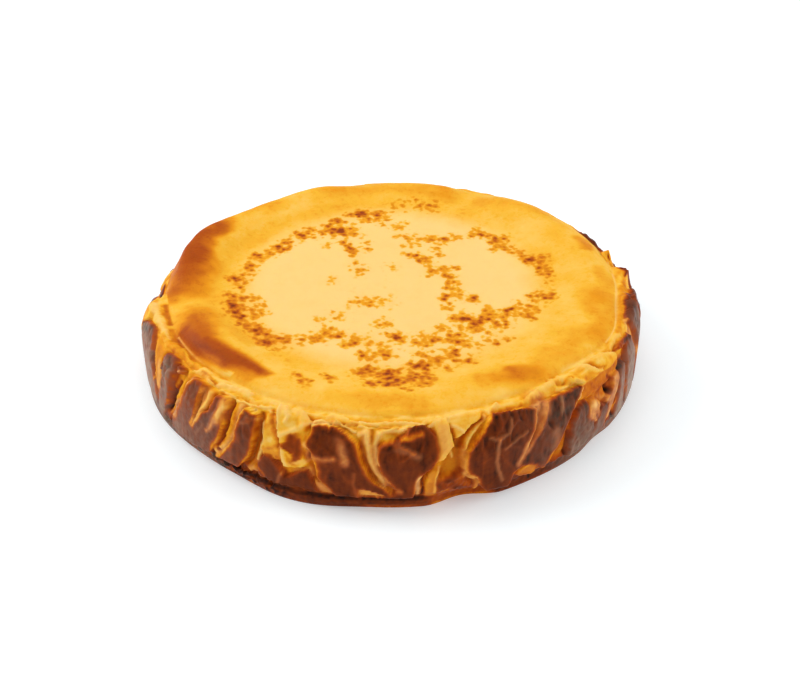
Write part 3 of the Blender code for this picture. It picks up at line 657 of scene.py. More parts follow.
# Cracks, shadows and lights over what is there: points, half width in mm, what they add to the
# relief and to the tone, and how far they whiten.
creases = [
    # cracks and painted shadows between the paddles on the left
    (((-53.4, 31), (-53.8, 25), (-54.8, 19.5), (-56.6, 14), (-59, 10)), 1.4, -1.2, 0.26, 0.0),
    (((-49, 36.8), (-47.2, 38.2), (-44, 38.4)), 1.3, 0.0, 0.08, 0.0),
    (((-45.0, 35), (-45.2, 29), (-45.8, 24), (-47.0, 18.6)), 1.3, -0.4, 0.06, 0.0),
    (((-47.4, 16), (-46.2, 19)), 1.2, -0.3, 0.05, 0.0),
    (((-45.4, 14), (-43.8, 18), (-42.4, 22)), 1.2, 0.3, -0.07, 0.1),
    (((-40.8, 36), (-38, 37.6)), 1.4, 0.0, 0.06, 0.0),
    (((-35.6, 38), (-35.7, 32), (-36.3, 26), (-37.1, 20), (-38.6, 14.6)), 1.4, -1.2, 0.16, 0.0),
    (((-38.6, 13.0), (-37.9, 13.6)), 1.1, -1.2, 0.45, 0.0),
    (((-28.6, 37), (-28.7, 30), (-29.0, 22), (-29.8, 15), (-31.2, 11)), 1.2, -1.4, 0.08, 0.0),
    (((-32.4, 35.8), (-31, 34.2), (-28.6, 34.8)), 1.3, -0.3, -0.12, 0.1),
    (((-32.2, 31.6), (-30.2, 33)), 1.2, 0.3, -0.08, 0.1),
    (((-30.4, 38), (-30.1, 36.2)), 1.0, -0.6, -0.30, 0.0),
    # the tongue
    (((-22.6, 13.6), (-23.8, 7)), 1.3, 0.5, -0.18, 0.15),
    (((-21, 32), (-18.6, 34.4), (-17.2, 36.8)), 1.7, -0.7, 0.10, 0.0),
    (((-19.8, 38.8), (-19.0, 36.2)), 1.6, -0.5, 0.08, 0.0),
    (((-17.8, 28), (-16.8, 24)), 1.2, -0.6, 0.08, 0.0),
    (((-21.4, 24.6), (-20.6, 21.6), (-19, 19.6)), 1.5, -0.6, 0.10, 0.0),
    # the fifth paddle
    (((-12.9, 39.5), (-12.7, 37.4)), 0.9, -0.8, -0.35, 0.0),
    (((-12.4, 37.2), (-10, 35.4), (-8.2, 32.4), (-6.9, 28.6), (-6.2, 25)), 2.6, 0.5, 0.06, 0.0),
    (((-16, 36), (-13.6, 37.4)), 2.2, 0.3, 0.06, 0.0),
    (((-15.6, 23.2), (-13.2, 22.8)), 2.0, -0.3, -0.14, 0.0),
    (((-14.2, 19.6), (-13.2, 16.6)), 2.4, 0.0, -0.05, 0.0),
    (((-9.4, 18.6), (-8.2, 15.6)), 2.8, 0.0, -0.05, 0.0),
    (((-12, 18.6), (-11.2, 15)), 2.5, 0.3, 0.06, 0.0),
    (((-10, 12), (-8.6, 9)), 3.0, 0.2, 0.05, 0.0),
    (((-7.2, 20), (-7.4, 15), (-6.8, 9.6)), 1.4, 0.4, -0.16, 0.05),
    (((-7.0, 7.2), (-6.2, 5.4)), 1.6, 0.0, -0.24, 0.0),
    # the sixth paddle
    (((-5.6, 31), (-5.2, 26), (-4.4, 21.4), (-2.9, 17.4)), 1.4, -0.5, 0.03, 0.0),
    (((-4.0, 38), (-3.9, 33)), 1.2, -0.7, 0.04, 0.0),
    (((-1.6, 31.6), (1.2, 32.6)), 2.2, 0.3, 0.02, 0.0),
    (((2.0, 32.8), (3.4, 31.6), (4.6, 29.6)), 1.2, 0.5, -0.14, 0.1),
    (((5.6, 40), (5.3, 37.8)), 0.9, -0.6, -0.30, 0.0),
    (((6.6, 20.4), (6.4, 16.5), (6.5, 12), (6.4, 7.4)), 0.7, -1.2, 0.34, 0.0),
    # the low mottled stretch and the gold valley
    (((9.8, 13.6), (10.3, 10.4)), 2.2, 0.2, 0.24, 0.0),
    (((12.6, 11.6), (14.8, 8.8)), 2.6, 0.2, 0.28, 0.0),
    (((11.2, 7.2), (14, 6.2)), 1.7, 0.0, 0.20, 0.0),
    (((14.4, 19), (13.2, 16.8), (11.4, 15.6)), 2.2, 0.5, 0.26, 0.0),
    (((12.9, 37), (13.2, 31), (12.0, 28), (10.9, 25.6)), 0.9, -0.8, 0.08, 0.0),
    (((19.6, 39.4), (17.2, 36.2), (15.4, 32.8), (14.2, 29.4)), 1.7, -1.1, 0.16, 0.0),
    # veins of the seventh paddle
    (((22.3, 31), (21.9, 26), (21.6, 21), (22.3, 15), (23.2, 10.5)), 1.5, 0.9, -0.20, 0.25),
    (((20.4, 31.8), (22.4, 30.8), (24.6, 31.8), (25.6, 36.6)), 1.3, 0.6, -0.16, 0.20),
    (((23.4, 25.6), (26, 28.3), (28.6, 30.4)), 1.2, 0.6, -0.14, 0.15),
    (((18.2, 21.4), (20.6, 23.4)), 1.0, 0.4, -0.06, 0.0),
    (((23.6, 19.6), (25.4, 15), (26.2, 11)), 1.2, 0.5, -0.09, 0.0),
    (((21.2, 39.6), (22.4, 38.8)), 1.3, 0.2, 0.12, 0.0),
    (((27.6, 38.2), (27.8, 34.5)), 0.8, -0.3, 0.06, 0.0),
    # the eighth paddle
    (((36.4, 32.6), (38.4, 29.6), (41, 30)), 3.0, 0.0, 0.06, 0.0),
    (((34.6, 29), (35.2, 26.4)), 1.3, -0.4, 0.06, 0.0),
    (((40.6, 19), (40.3, 14), (39.8, 7)), 1.4, -0.6, 0.24, 0.0),
    # the hollow and the grey paddles on the right
    (((46.0, 18), (47.6, 13), (48, 8)), 1.2, 0.4, -0.08, 0.0),
    (((54.0, 28.4), (54.0, 26.6), (54.8, 25.0)), 2.2, -2.0, 0.46, 0.0),
    (((54.6, 32), (55.6, 30.4)), 1.6, -0.6, 0.24, 0.0),
    (((58.4, 19), (57.2, 16), (56.2, 12)), 1.6, -1.8, 0.50, 0.0),
    (((56.6, 10.6), (58, 5)), 1.6, -1.2, 0.30, 0.0),
    (((49.2, 19.6), (50.0, 15.6)), 1.0, -0.5, 0.25, 0.0),
    (((46.4, 17), (47.6, 13)), 2.4, -0.2, 0.06, 0.0),
    (((59.0, 31.4), (61, 32.4), (63, 31.6)), 1.8, -0.6, 0.30, 0.0),
    (((65.0, 37.8), (66.4, 37.4), (68.6, 36.6)), 1.7, 0.0, 0.40, 0.0),
    (((76, 34), (80, 30), (82, 26)), 2.0, 0.0, 0.05, 0.0),
    (((30.2, 7), (30.9, 2)), 0.9, -0.8, 0.3, 0.0),
    # the far left side and the silver paddle
    (((-66.4, 29.4), (-65.6, 27.2)), 1.7, -1.2, 0.30, 0.0),
    (((-70.6, 38), (-74, 33), (-77, 28)), 1.8, 0.0, 0.14, 0.0),
    (((-62.8, 24), (-65, 17), (-67, 11)), 1.2, 0.5, -0.20, 0.1),
    (((-60.2, 34.6), (-59.2, 30.6), (-58.6, 24)), 1.1, -1.0, 0.14, 0.0),
    (((-58.0, 33.6), (-55.4, 34.4)), 1.1, -0.8, 0.14, 0.0),
    (((-57.6, 38), (-57.0, 35.4)), 1.0, -0.6, 0.10, 0.0),
    (((-56.4, 31.4), (-55.9, 27)), 1.6, 0.8, -0.12, 0.1),
    (((-57.6, 22.6), (-58.6, 20)), 1.6, 0.0, -0.20, 0.0),
    (((-71.5, 38.6), (-69.8, 36.4), (-69.4, 33)), 2.4, 0.0, 0.14, 0.0),
    # folds of the ledge
    (((-47.8, 41.4), (-46.4, 41.2), (-43, 41.2)), 0.8, -0.5, 0.22, 0.0),
    (((-60, 40.8), (-54, 41.0), (-50, 41.4)), 0.9, -0.5, 0.08, 0.0),
    (((-38, 41.2), (-34, 41.4), (-30, 40.6)), 0.8, -0.5, 0.10, 0.0),
    (((-68, 43.2), (-60, 43.6), (-53, 43.8), (-46, 44.2), (-38, 44.6)), 1.3, -0.4, 0.10, 0.0),
    (((-26.2, 40.4), (-25.4, 37), (-24.8, 33)), 1.2, -0.6, 0.10, 0.0),
    (((-18, 41.4), (-14, 40.8), (-11, 40.6), (-7, 40.6)), 1.1, -0.6, 0.16, 0.0),
    (((-9, 42.2), (-3, 42.6), (4, 42.4), (10, 42.6)), 0.8, -0.4, 0.10, 0.0),
    (((-3, 39.8), (2, 39.6)), 1.3, -0.3, 0.12, 0.0),
    (((23, 40.2), (28, 40.4), (36, 39.6)), 2.0, -0.3, 0.08, 0.0),
    (((40.6, 41.6), (42.6, 41.4), (44.2, 40.6)), 0.9, -0.6, 0.16, 0.0),
]

backWall = {                        # uneven paddles on the side that faces away
    "start": 92.0,
    "end": 277.0,
    "widths": (2.4, 4.8),
    "gaps": (1.6, 3.6),
    "rises": (1.6, 2.8),
    "feet": (3.0, 8.0),
    "heads": (25.0, 30.0),
    "headShares": (1.0, 1.0, 0.7),
    "middleHeight": 20.0,
    "growth": (-0.04, 0.06),        # degrees wider for each mm over the middle
    "lean": 0.16,                   # degrees aside for each mm over the middle
    "headWidth": 0.55,              # the top is this much of the width
    "tone": (0.70, 0.05, 0.06),     # browner for each mm of rise, and how far it sways
    "soft": (1.3, 1.3, 1.4, 2.5),
    "seed": 24,
    "foldEvery": 3,                 # a pale fold beside every third paddle
    "foldOffset": 0.8,
    "foldOutline": ((33, -3.0, 1.6), (28, -2.4, 1.0), (24, -1.6, 0.8), (20, -0.6, 0.4)),
    "fold": {"rise": 2.2, "tone": 0.10, "pale": 0.25, "soft": (2.6, 0.8, 2.0, 1.2)},
}

wallLook = {
    "valley": (-1.5, 0.9),          # how deep the valleys lie and how uneven they are, mm
    "valleyTone": 0.25,
    "topPaler": 0.13,
    "topPalerFrom": (30.0, 6.0),    # height and how slowly it comes in, mm
    "rootTone": 0.66,               # the wall is browned near the foot
    "rootTop": (12.5, 5.0),         # up to this height, and how slowly it ends, mm
    "ragged": 0.9,                  # how far outlines wander, mm
    "steadyFrom": (42.0, 2.0),      # they wander less on the ledge
    "brownFrom": 0.6,               # sheets over this tone count as browned
    "brownFade": (0.5, 0.15),       # wrinkles come in from this tone on
    "brownUneven": 0.3,             # mm
    "halo": 2.3,                    # width of the orange margin of a browned sheet, mm
    "topDarker": (0.09, 3.0),       # browned sheets are darkest at their upper edge: tone, mm
    "foldRise": 1.35,               # strips stand out by this times their rise
    "hollowShade": 0.10,             # painted shade in the hollows and painted light on the ridges, for each mm
    "hollowReach": 5,               # columns to each side that a hollow is measured against
    "hollowLimits": (-0.8, 1.4),
    "hollowFrom": (0.02, 0.15),     # the palest places get none
    "veinRise": 0.45,               # thin creases all over the browned sheets, mm
    "veinTone": 0.03,
    "veinWidth": 0.16,
    "pleatRise": 0.40,              # upright wrinkles, mm
    # painted shade in the wrinkles' grooves and painted light on their crests
    "pleatShade": 0.055,
    "shadeFromDepth": (1.4, 3.4),         # painted shade: places lower than this get darker, mm
    "shadeEndRows": (8.2, 1.4),          # rows where that ends
    "reliefEnd": (8.6, 1.6),
    "bodyRise": (0.5, 0.8, 1.9),    # row where the wall's relief starts, later at the clear foot, span
    # greyish painted sheen on the browned sheets, standing in for reflected light: degrees from the
    # front, amount
    "paintedSheen": ((22.0, 0.0), (32.0, 0.07), (48.0, 0.20), (62.0, 0.42), (80.0, 0.42), (100.0, 0.3),
              (180.0, 0.2)),
    "sheenLow": 0.7,                # stronger towards the foot
    "sheenLowUnder": (20.0, 14.0),
    "sheenTop": (0.35, 7.0),        # least share at the upper edge of a sheet, and full below this, mm
    "sideRelief": (1.0, 0.45),      # the sides are fuller: mm, share
    "sideFrom": (48.0, 22.0),       # degrees from the front
    "backTone": 0.13,               # the rim behind is golden, as the ring hides it
    "backFrom": (92.0, 14.0),
    "backRows": (4.8, 0.9),
    "backTipsSpan": (90.0, 119.0, 5.0),     # apart from the torn tips on the right
    "mostTone": 0.93,
}


def backSheets():
    look = backWall
    leastTone, darkerBy, sway = look["tone"]
    draw = random.Random(look["seed"])
    found = []
    angle = look["start"]
    while angle < look["end"]:
        width = draw.uniform(*look["widths"])
        if angle + 2.0 * width > look["end"]:
            break
        middle = angle + width
        growth = draw.uniform(*look["growth"])
        lean = draw.uniform(-0.4 * look["lean"], look["lean"])
        low = draw.uniform(*look["feet"])
        high = draw.choice(look["headShares"]) * draw.uniform(*look["heads"])
        rise = draw.uniform(*look["rises"])
        outline = []
        for share in (1.0, 0.9, 0.6, 0.3, 0.0):
            height = low + (high - low) * share
            reach = width + growth * (height - look["middleHeight"])
            if share == 1.0:
                reach *= look["headWidth"]
            along = middle + lean * (height - look["middleHeight"])
            outline.append((height, along - reach, along + reach))
        tone = leastTone + darkerBy * (rise - look["rises"][0]) + sway * math.sin(middle)
        found.append({"rise": rise, "tone": tone, "soft": look["soft"], "outline": outline})
        if len(found) % look["foldEvery"] == 0:
            edge = angle + 2.0 * width + look["foldOffset"]
            outline = [(height, edge + left, edge + right) for height, left, right in look["foldOutline"]]
            found.append({**look["fold"], "outline": outline})
        angle += 2.0 * width + draw.uniform(*look["gaps"])
    return found


def sheetEdges(angle, height, outline):
    stations = np.array(outline)[::-1]
    middle = 0.5 * (stations[:, 1].mean() + stations[:, 2].mean())
    here = turnFrom(angle, middle) + middle
    left = np.interp(height, stations[:, 0], stations[:, 1])
    right = np.interp(height, stations[:, 0], stations[:, 2])
    scale = chartPlan["mmPerDegree"]
    return ((here - left) * scale, (right - here) * scale,
            stations[-1, 0] - height, height - stations[0, 0])


def lineShare(angle, height, points, halfWidth):
    scale = chartPlan["mmPerDegree"]
    nearest = np.full(angle.shape, 99.0)
    for (a0, h0), (a1, h1) in zip(points, points[1:]):
        dx, dy = (a1 - a0) * scale, h1 - h0
        px, py = turnFrom(angle, a0) * scale, height - h0
        along = np.clip((px * dx + py * dy) / (dx * dx + dy * dy), 0.0, 1.0)
        nearest = np.minimum(nearest, np.hypot(px - along * dx, py - along * dy))
    return ease(1.0 - nearest / halfWidth)


allSheets = [{**plainSheet, **sheet} for sheet in list(sheets.values()) + backSheets()]


# relief and colours of one row of corners, built up layer by layer
class Paint:
    def __init__(self, angle, height, points):
        self.angle = angle
        self.height = height
        self.broad = noiseOf(points, "broad")
        self.broadUp = noiseOf(points, "broadUp")
        self.fine = noiseOf(points, "fine")
        self.fineUp = noiseOf(points, "fineUp")
        wander = wallLook["ragged"] * (1.0 - 0.75 * fadeIn(height, *wallLook["steadyFrom"]))
        self.a = angle + wander * (0.7 * self.broad + 0.25 * self.fine) / chartPlan["mmPerDegree"]
        self.h = height + wander * (0.6 * self.broadUp + 0.45 * self.fineUp)
        self.relief = np.zeros_like(angle)
        self.tone = np.full_like(angle, topLook["ringTone"])
        self.pale = np.zeros_like(angle)
        self.freckle = np.zeros_like(angle)
        self.deepShaded = np.zeros_like(angle)
        self.paintedSheen = np.zeros_like(angle)

    def addValleys(self, points):
        look = wallLook
        rootTop, rootFade = look["rootTop"]
        root = ease((rootTop - self.h + 2.0 * self.broad) / rootFade)
        depth, uneven = look["valley"]
        self.relief = depth + uneven * noiseOf(points, "valleyFloor")
        self.relief = blend(self.relief, 0.3 + 0.4 * self.fine, 0.7 * root)
        self.tone = look["valleyTone"] + 0.10 * self.broad + 0.05 * self.fine
        self.tone = self.tone - look["topPaler"] * fadeIn(self.h, *look["topPalerFrom"])
        self.tone = blend(self.tone, look["rootTone"] + 0.1 * self.fine, root)

    def addSheets(self):
        look = wallLook
        stops = np.array(look["paintedSheen"])
        sideSheen = np.interp(np.abs(self.angle), stops[:, 0], stops[:, 1])
        low = 1.0 + look["sheenLow"] * fadeOut(self.height, *look["sheenLowUnder"])
        darker, darkerFade = look["topDarker"]
        least, sheenFade = look["sheenTop"]
        for sheet in allSheets:
            edges = sheetEdges(self.a, self.h, sheet["outline"])
            fromTop = edges[2]
            body = 1.0
            near = 99.0
            for distance, soft in zip(edges, sheet["soft"]):
                body = body * ease(distance / soft + 0.5)
                near = np.minimum(near, distance / max(soft, 1.0))
            colour = ease((near - sheet["inset"]) / (look["halo"] * sheet["spread"]) + 0.5)
            mottle = sheet["mottle"]
            isBrown = sheet["tone"] > look["brownFrom"]
            tone = sheet["tone"] + mottle * (0.5 * self.broad + 0.7 * self.fine + 0.2 * self.fineUp)
            if isBrown:
                tone = tone + darker * np.exp(-np.maximum(fromTop, 0.0) / darkerFade)
            self.relief = blend(self.relief, sheet["rise"] + 1.5 * mottle * self.fine, body)
            self.tone = blend(self.tone, tone, colour)
            # a pale sheet whitens late, and the others clear what was pale early
            whitening = colour ** 3 if sheet["pale"] > 0.0 else 1.0 - (1.0 - colour) ** 3
            self.pale = blend(self.pale, sheet["pale"], whitening)
            # greyish painted sheen, standing in for reflected light, weaker at a sheet's upper edge
            paintedSheen = sheet.get("paintedSheen", sideSheen if isBrown else 0.0)
            paintedSheen = paintedSheen * low * (least + (1.0 - least) * ease(fromTop / sheenFade))
            self.paintedSheen = blend(self.paintedSheen, paintedSheen, colour)
        self.tone = np.minimum(self.tone, look["mostTone"])

    def addWrinkles(self, points):
        look = wallLook
        pleats = noiseOf(points, "pleats")
        wide = noiseOf(points, "widePleats")
        veins = ease(1.0 - np.abs(noiseOf(points, "veins")) / look["veinWidth"])
        browned = fadeIn(self.tone, *look["brownFade"])
        rough = look["veinRise"] * veins + look["brownUneven"] * self.broadUp
        self.relief = self.relief + browned * rough
        self.relief = self.relief + browned * look["pleatRise"] * (pleats + wide)
        # painted shade in the grooves of the wrinkles, painted light on their crests
        self.tone = self.tone - browned * look["pleatShade"] * (pleats + 0.8 * wide)
        self.tone = self.tone - look["veinTone"] * browned * veins
        # the painted sheen is patchy and catches on the veins
        self.paintedSheen = self.paintedSheen * (1.0 + 0.8 * self.fine + 0.5 * veins)

    def addStrips(self):
        for places, halfWidth, rise, tone, whiten in strips:
            share = lineShare(self.a, self.h, places, halfWidth)
            self.relief = self.relief + wallLook["foldRise"] * rise * share
            self.tone = blend(self.tone, tone + 0.05 * self.fine, share)
            self.pale = blend(self.pale, whiten, share)
        for places, halfWidth, rise, step, whiten in creases:
            share = lineShare(self.a, self.h, places, halfWidth)
            self.relief = self.relief + rise * share
            self.tone = self.tone + step * share
            self.pale = blend(self.pale, whiten, share) if whiten else self.pale * (1.0 - 0.7 * share)

    # painted shade in the wall's hollows and painted light on its ridges, against the relief round them
    def shadeHollows(self):
        reach = wallLook["hollowReach"]
        around = sum(np.roll(self.relief, step) for step in range(-reach, reach + 1)) / (2 * reach + 1)
        hollow = np.clip(around - self.relief, *wallLook["hollowLimits"])
        darkerBy = hollow * fadeIn(self.tone, *wallLook["hollowFrom"])
        self.tone = self.tone + wallLook["hollowShade"] * darkerBy

    def layers(self):                   # in the order of crustLook's layers
        return np.stack((np.clip(self.tone, 0.0, 1.0), np.clip(self.pale, 0.0, 1.0), self.freckle,
                         self.deepShaded, np.clip(self.paintedSheen, 0.0, 1.0)), axis=1)


# the foot, the ledge under the ring and the ring itself

footLook = {
    "lipEnd": (1.85, 0.4),          # place in the cross-section where the lip ends, and how slowly
    "lipTone": 0.80,
    # near-black painted shadow in the groove above the foot's lip
    "grooveShade": 0.97,
    # spans are degrees from and to, and how slowly they start and end
    "grooveSpan": (-38.0, 7.5, 1.5),    # the lip stands clear of the wall
    "grooveHeight": 5.4,
    "grooveWidth": 1.1,
    "goldEdgeSpan": (-6.0, 6.5, 4.0),
    "goldEdgeTone": 0.50,
    "goldEdgeTop": (3.2, 2.0),
    "crumblySpan": (-62.0, -23.0, 5.0),
    "crumbTone": (0.14, 0.44),      # everywhere, and more where it is crumbly
    "crumbRelief": (0.5, 2.6),
    "crumbEnd": 2.4,                # place in the cross-section
    "tuckedSpan": (7.5, 22.0, 3.0),
    "tuckedTone": 0.52,
    "restTone": 0.84,
    "edgePaler": 0.18,              # the very edge on the floor is paler
    "edgeTop": (1.6, 1.0),
    # painted sheen on the foot at the sides
    "sideSheen": 0.42,
    "sideSheenFrom": (34.0, 12.0),
}

ledgeLook = {
    "tone": 0.03,
    "pale": 0.0,
    "crumple": 1.1,                 # mm
    "crumbs": 0.35,
    "crumblySpan": (-50.0, 10.0, 12.0),
    "lumps": 1.3,
    "unevenShading": (-0.13, -0.06, -0.05),    # painted light on the folds, crumbs and lumps, and painted shade between them
    "bumpStart": (6.4, 0.9),        # rows
    "bumpEnd": (9.7, 1.6),
    "overRim": (7.0, 1.2),          # rows where the ledge's colour comes in behind the rim
    "underRim": (6.4, 0.8),         # and on the pale places in front of it
    "paleUnder": (0.30, 0.1),
    "crease": (9.2, 1.2, 0.9),      # row, how far it wanders, half width
    # painted shade along the crease under the ring
    "creaseShade": 0.13,
    # more baked stretches: degrees, half width, tone
    "baked": ((-60.0, 20.0, 0.20), (36.0, 12.0, 0.06), (70.0, 20.0, 0.12), (-95.0, 18.0, 0.22),
              (105.0, 20.0, 0.15), (170.0, 70.0, 0.10)),
}

# Toasted places of the ring seen from above: points in mm, half width at both ends, tone.
# The two with a negative tone are painted highlights along the crease of the left swelling.
toastAndHighlights = [
    (((-101, -4), (-99, 14), (-97, 30), (-90, 47)), (21.0, 15.0), 0.21),
    (((-97, 6), (-95, 20), (-92, 34), (-88, 44)), (13.0, 9.0), 0.15),
    (((-100, 22), (-97, 36)), (9.0, 8.0), 0.06),
    (((-104, -14), (-97, -8)), (9.0, 12.0), 0.10),
    (((-92, 58), (-78, 66), (-62, 76)), (15.0, 12.0), 0.09),
    (((-89, -37), (-88, -47), (-83, -57), (-73, -65.5), (-60, -72.5), (-53, -77)), (17.0, 4.0), 0.20),
    (((-88, -45), (-82, -56), (-72, -65), (-58, -73)), (11.0, 5.0), 0.11),
    (((-80, -60), (-66, -66)), (7.0, 6.0), 0.10),
    (((-63, -70), (-54, -76.5)), (4.5, 3.0), 0.10),
    (((-94, -48), (-86, -60), (-76, -68.5), (-62, -78)), (6.5, 5.5), 0.13),
    (((-92, -35), (-94, -44)), (5.0, 5.0), 0.08),
    # painted highlights along the crease of the left swelling
    (((-90.5, -58), (-80, -68.5), (-67, -77.5)), (2.2, 1.8), -0.20),
    (((-84, -60), (-76, -67)), (1.6, 1.6), -0.07),
    (((40, -81), (50, -80), (60, -79)), (8.0, 10.0), 0.11),
    (((44, -80), (54, -78)), (4.0, 5.0), 0.06),
    (((58, -78), (70, -68), (86, -48)), (10.0, 14.0), 0.09),
    (((98, -14), (98, -44)), (13.0, 13.0), 0.10),
    (((95, 37), (97, 28)), (6.0, 5.0), 0.16),
    (((100, 10), (104, -2)), (6.0, 8.0), 0.10),
    (((-24, -94), (12, -97)), (7.0, 7.0), 0.07),
    (((-30, 90), (0, 94), (30, 88)), (13.0, 13.0), 0.09),
    (((50, 78), (66, 74), (84, 60)), (10.0, 9.0), 0.08),
    (((-84, -14), (-76, -36), (-62, -52)), (10.0, 8.0), 0.04),
    (((-84, 6), (-76, 30), (-60, 50), (-36, 66), (-10, 78)), (8.0, 9.0), 0.04),
]

topLook = {
    "ringTone": 0.07,
    "ringFade": 0.6,                # rows
    "ringWaves": 0.5,               # slow unevenness of the ring, mm
    "ringEnd": (13.0, 3.0),
    "toastWander": (4.0, 2.0),      # how far the toasted places wander, broad and fine, mm
    "discTone": 0.0,
    "discPale": 0.42,
    "discEdge": (58.0, 78.0),       # the pale middle fades into the ring between these radii, mm
    "discWaves": 0.35,
    "discStart": (11.0, 2.0),
    "mostFreckled": 1.5,
}

# brown freckles seen from above, in mm: clumps of three strengths, and their radius
freckles = {
    "dark": {
        "strength": 1.05,
        "radius": 3.0,
        "places": (
            (-69, 15), (-67, 25), (-57, 34), (-45, 44), (-27, 49), (-25, 50), (-16, 67), (-21, 33),
            (-19, 30), (20, 42), (53, 40), (16, 21), (68, 20), (75, 8), (28, 6), (38, -13), (75, -13),
            (66, -22), (54, -24), (45, -27), (36, -31), (32, -31), (40, -36), (30, -47), (27, -57),
            (20, -63), (-2, -83), (-8, -83), (0, -73), (-10, -71), (-3, -58), (-32, -45), (-60, -40),
            (-73, -22), (-36, -83), (-76, 3), (-33, 53),
        ),
    },
    "pale": {
        "strength": 0.60,
        "radius": 2.8,
        "places": (
            (-70, 0), (-71, -3), (-68, 9), (-66, 22), (-55, 31), (-51, 32), (-59, 29), (-60, 25),
            (-53, 38), (-48, 46), (-43, 50), (-38, 43), (-36, 49), (-30, 50), (-24, 48), (-22, 46),
            (-18, 52), (-30, 45), (-17, 47), (-30, 60), (-22, 66), (-14, 69), (-8, 67), (-25, 58),
            (-28, 60), (-10, 65), (-5, 68), (-7, 60), (-4, 56), (-2, 62), (-13, 60), (3, 52), (7, 57),
            (3, 45), (8, 43), (13, 42), (-32, 35), (-23, 39), (-24, 38), (-12, 38), (-18, 25),
            (-12, 31), (8, 35), (14, 36), (27, 42), (28, 40), (33, 44), (41, 45), (45, 47), (44, 52),
            (48, 45), (54, 37), (58, 43), (57, 33), (62, 28), (52, 31), (8, 27), (12, 25), (18, 20),
            (22, 32), (25, 36), (24, 26), (19, 12), (18, 7), (72, 22), (78, 22), (75, 15), (73, 12),
            (25, 13), (32, 13), (26, 8), (30, 0), (28, -4), (33, -6), (26, -12), (30, -10), (25, -14),
            (40, -15), (27, -22), (70, -12), (65, -12), (60, -17), (57, -22), (63, -28), (66, -30),
            (50, -28), (45, -22), (42, -31), (29, -31), (44, -33), (48, -36), (54, -35), (53, -47),
            (46, -41), (48, -50), (28, -45), (26, -47), (34, -50), (28, -60), (22, -40), (24, -38),
            (33, -38), (38, -52), (38, -40), (20, -47), (15, -44), (13, -50), (17, -52), (10, -57),
            (13, -59), (36, -64), (30, -65), (15, -66), (10, -67), (8, -69), (25, -70), (14, -69),
            (15, -76), (10, -77), (2, -78), (-3, -78), (5, -81), (2, -82), (-3, -73), (-14, -73),
            (-6, -70), (12, -85), (8, -88), (14, -83), (18, -80), (0, -60), (-10, -62), (-13, -58),
            (-17, -51), (-19, -51), (-12, -51), (-8, -49), (-10, -45), (-17, -47), (3, -46), (2, -44),
            (5, -48), (-4, -52), (-30, -42), (-35, -47), (-38, -47), (-28, -40), (-25, -45), (-22, -42),
            (-46, -47), (-50, -48), (-56, -45), (-55, -52), (-58, -50), (-61, -38), (-65, -37),
            (-75, -18), (-72, -26), (-71, -29), (-68, -34), (-75, -12), (-72, -13), (-65, -14),
            (-63, -15), (-60, -20), (-65, -24), (-62, -28), (-58, -25), (-70, -16), (-68, -30),
            (-39, -78), (-28, -77), (-25, -80),
        ),
    },
    "faint": {
        "strength": 0.32,
        "radius": 4.5,
        "places": (
            (4, 76), (14, 78), (22, 75), (-17, 16), (-15, 10), (-17, -18), (-12, -17), (-7, -17),
            (0, -17), (-3, -34), (-5, -36), (-27, -28), (-33, -33), (-22, -30), (-28, 2), (0, 15),
        ),
    },
}

# stretches between the freckles that are speckled all over: points, half width at both ends, strength
speckled = [
    (((-72, -10), (-72, -26), (-62, -40), (-48, -52), (-34, -46), (-14, -48), (4, -46), (20, -48)),
     (12.0, 8.0), 0.19),
    (((-70, 6), (-66, 22), (-56, 34), (-40, 48), (-26, 56), (-12, 66), (4, 72), (20, 74)),
     (8.0, 10.0), 0.20),
    (((-28, 50), (-16, 46)), (10.0, 8.0), 0.17),
    (((4, 54), (14, 42), (28, 42), (44, 46), (54, 38), (62, 28), (72, 18), (76, 6), (74, -10)),
     (7.0, 7.0), 0.17),
    (((12, 26), (20, 18), (28, 8), (30, -6), (28, -18), (34, -28)), (7.0, 8.0), 0.17),
    (((74, -12), (64, -24), (50, -30), (38, -34), (32, -46), (26, -58), (12, -68), (0, -76)),
     (8.0, 11.0), 0.23),
    (((52, -34), (42, -50), (34, -62)), (7.0, 6.0), 0.15),
    (((0, -56), (-10, -62)), (9.0, 9.0), 0.17),
    (((-14, -74), (0, -82), (16, -80)), (9.0, 8.0), 0.20),
    (((-60, -48), (-50, -60), (-38, -80)), (8.0, 6.0), 0.09),
    (((60, 30), (62, 52), (48, 66), (20, 72)), (16.0, 12.0), 0.08),
    (((-14, 14), (-16, 0), (-18, -16)), (6.0, 6.0), 0.08),
    (((0, 10), (-2, -14), (-4, -34)), (5.0, 7.0), 0.08),
]


def planStroke(x, y, points, halfWidths):
    nearest = np.full(x.shape, 99.0)
    spans = len(points) - 1
    first, last = halfWidths
    for step, ((x0, y0), (x1, y1)) in enumerate(zip(points, points[1:])):
        dx, dy = x1 - x0, y1 - y0
        along = np.clip(((x - x0) * dx + (y - y0) * dy) / (dx * dx + dy * dy), 0.0, 1.0)
        width = first + (last - first) * (step + along) / spans
        nearest = np.minimum(nearest, np.hypot(x - x0 - along * dx, y - y0 - along * dy) / width)
    return ease(1.2 * (1.0 - nearest))


def freckleAt(x, y):
    found = np.zeros_like(x)
    for kind in freckles.values():
        for px, py in kind["places"]:
            squared = (x - px) ** 2 + (y - py) ** 2
            found += kind["strength"] * np.exp(-squared / (kind["radius"] * kind["radius"]))
    for places, halfWidths, strength in speckled:
        found += strength * planStroke(x, y, places, halfWidths)
    most = topLook["mostFreckled"]
    return most * np.tanh(found / most)


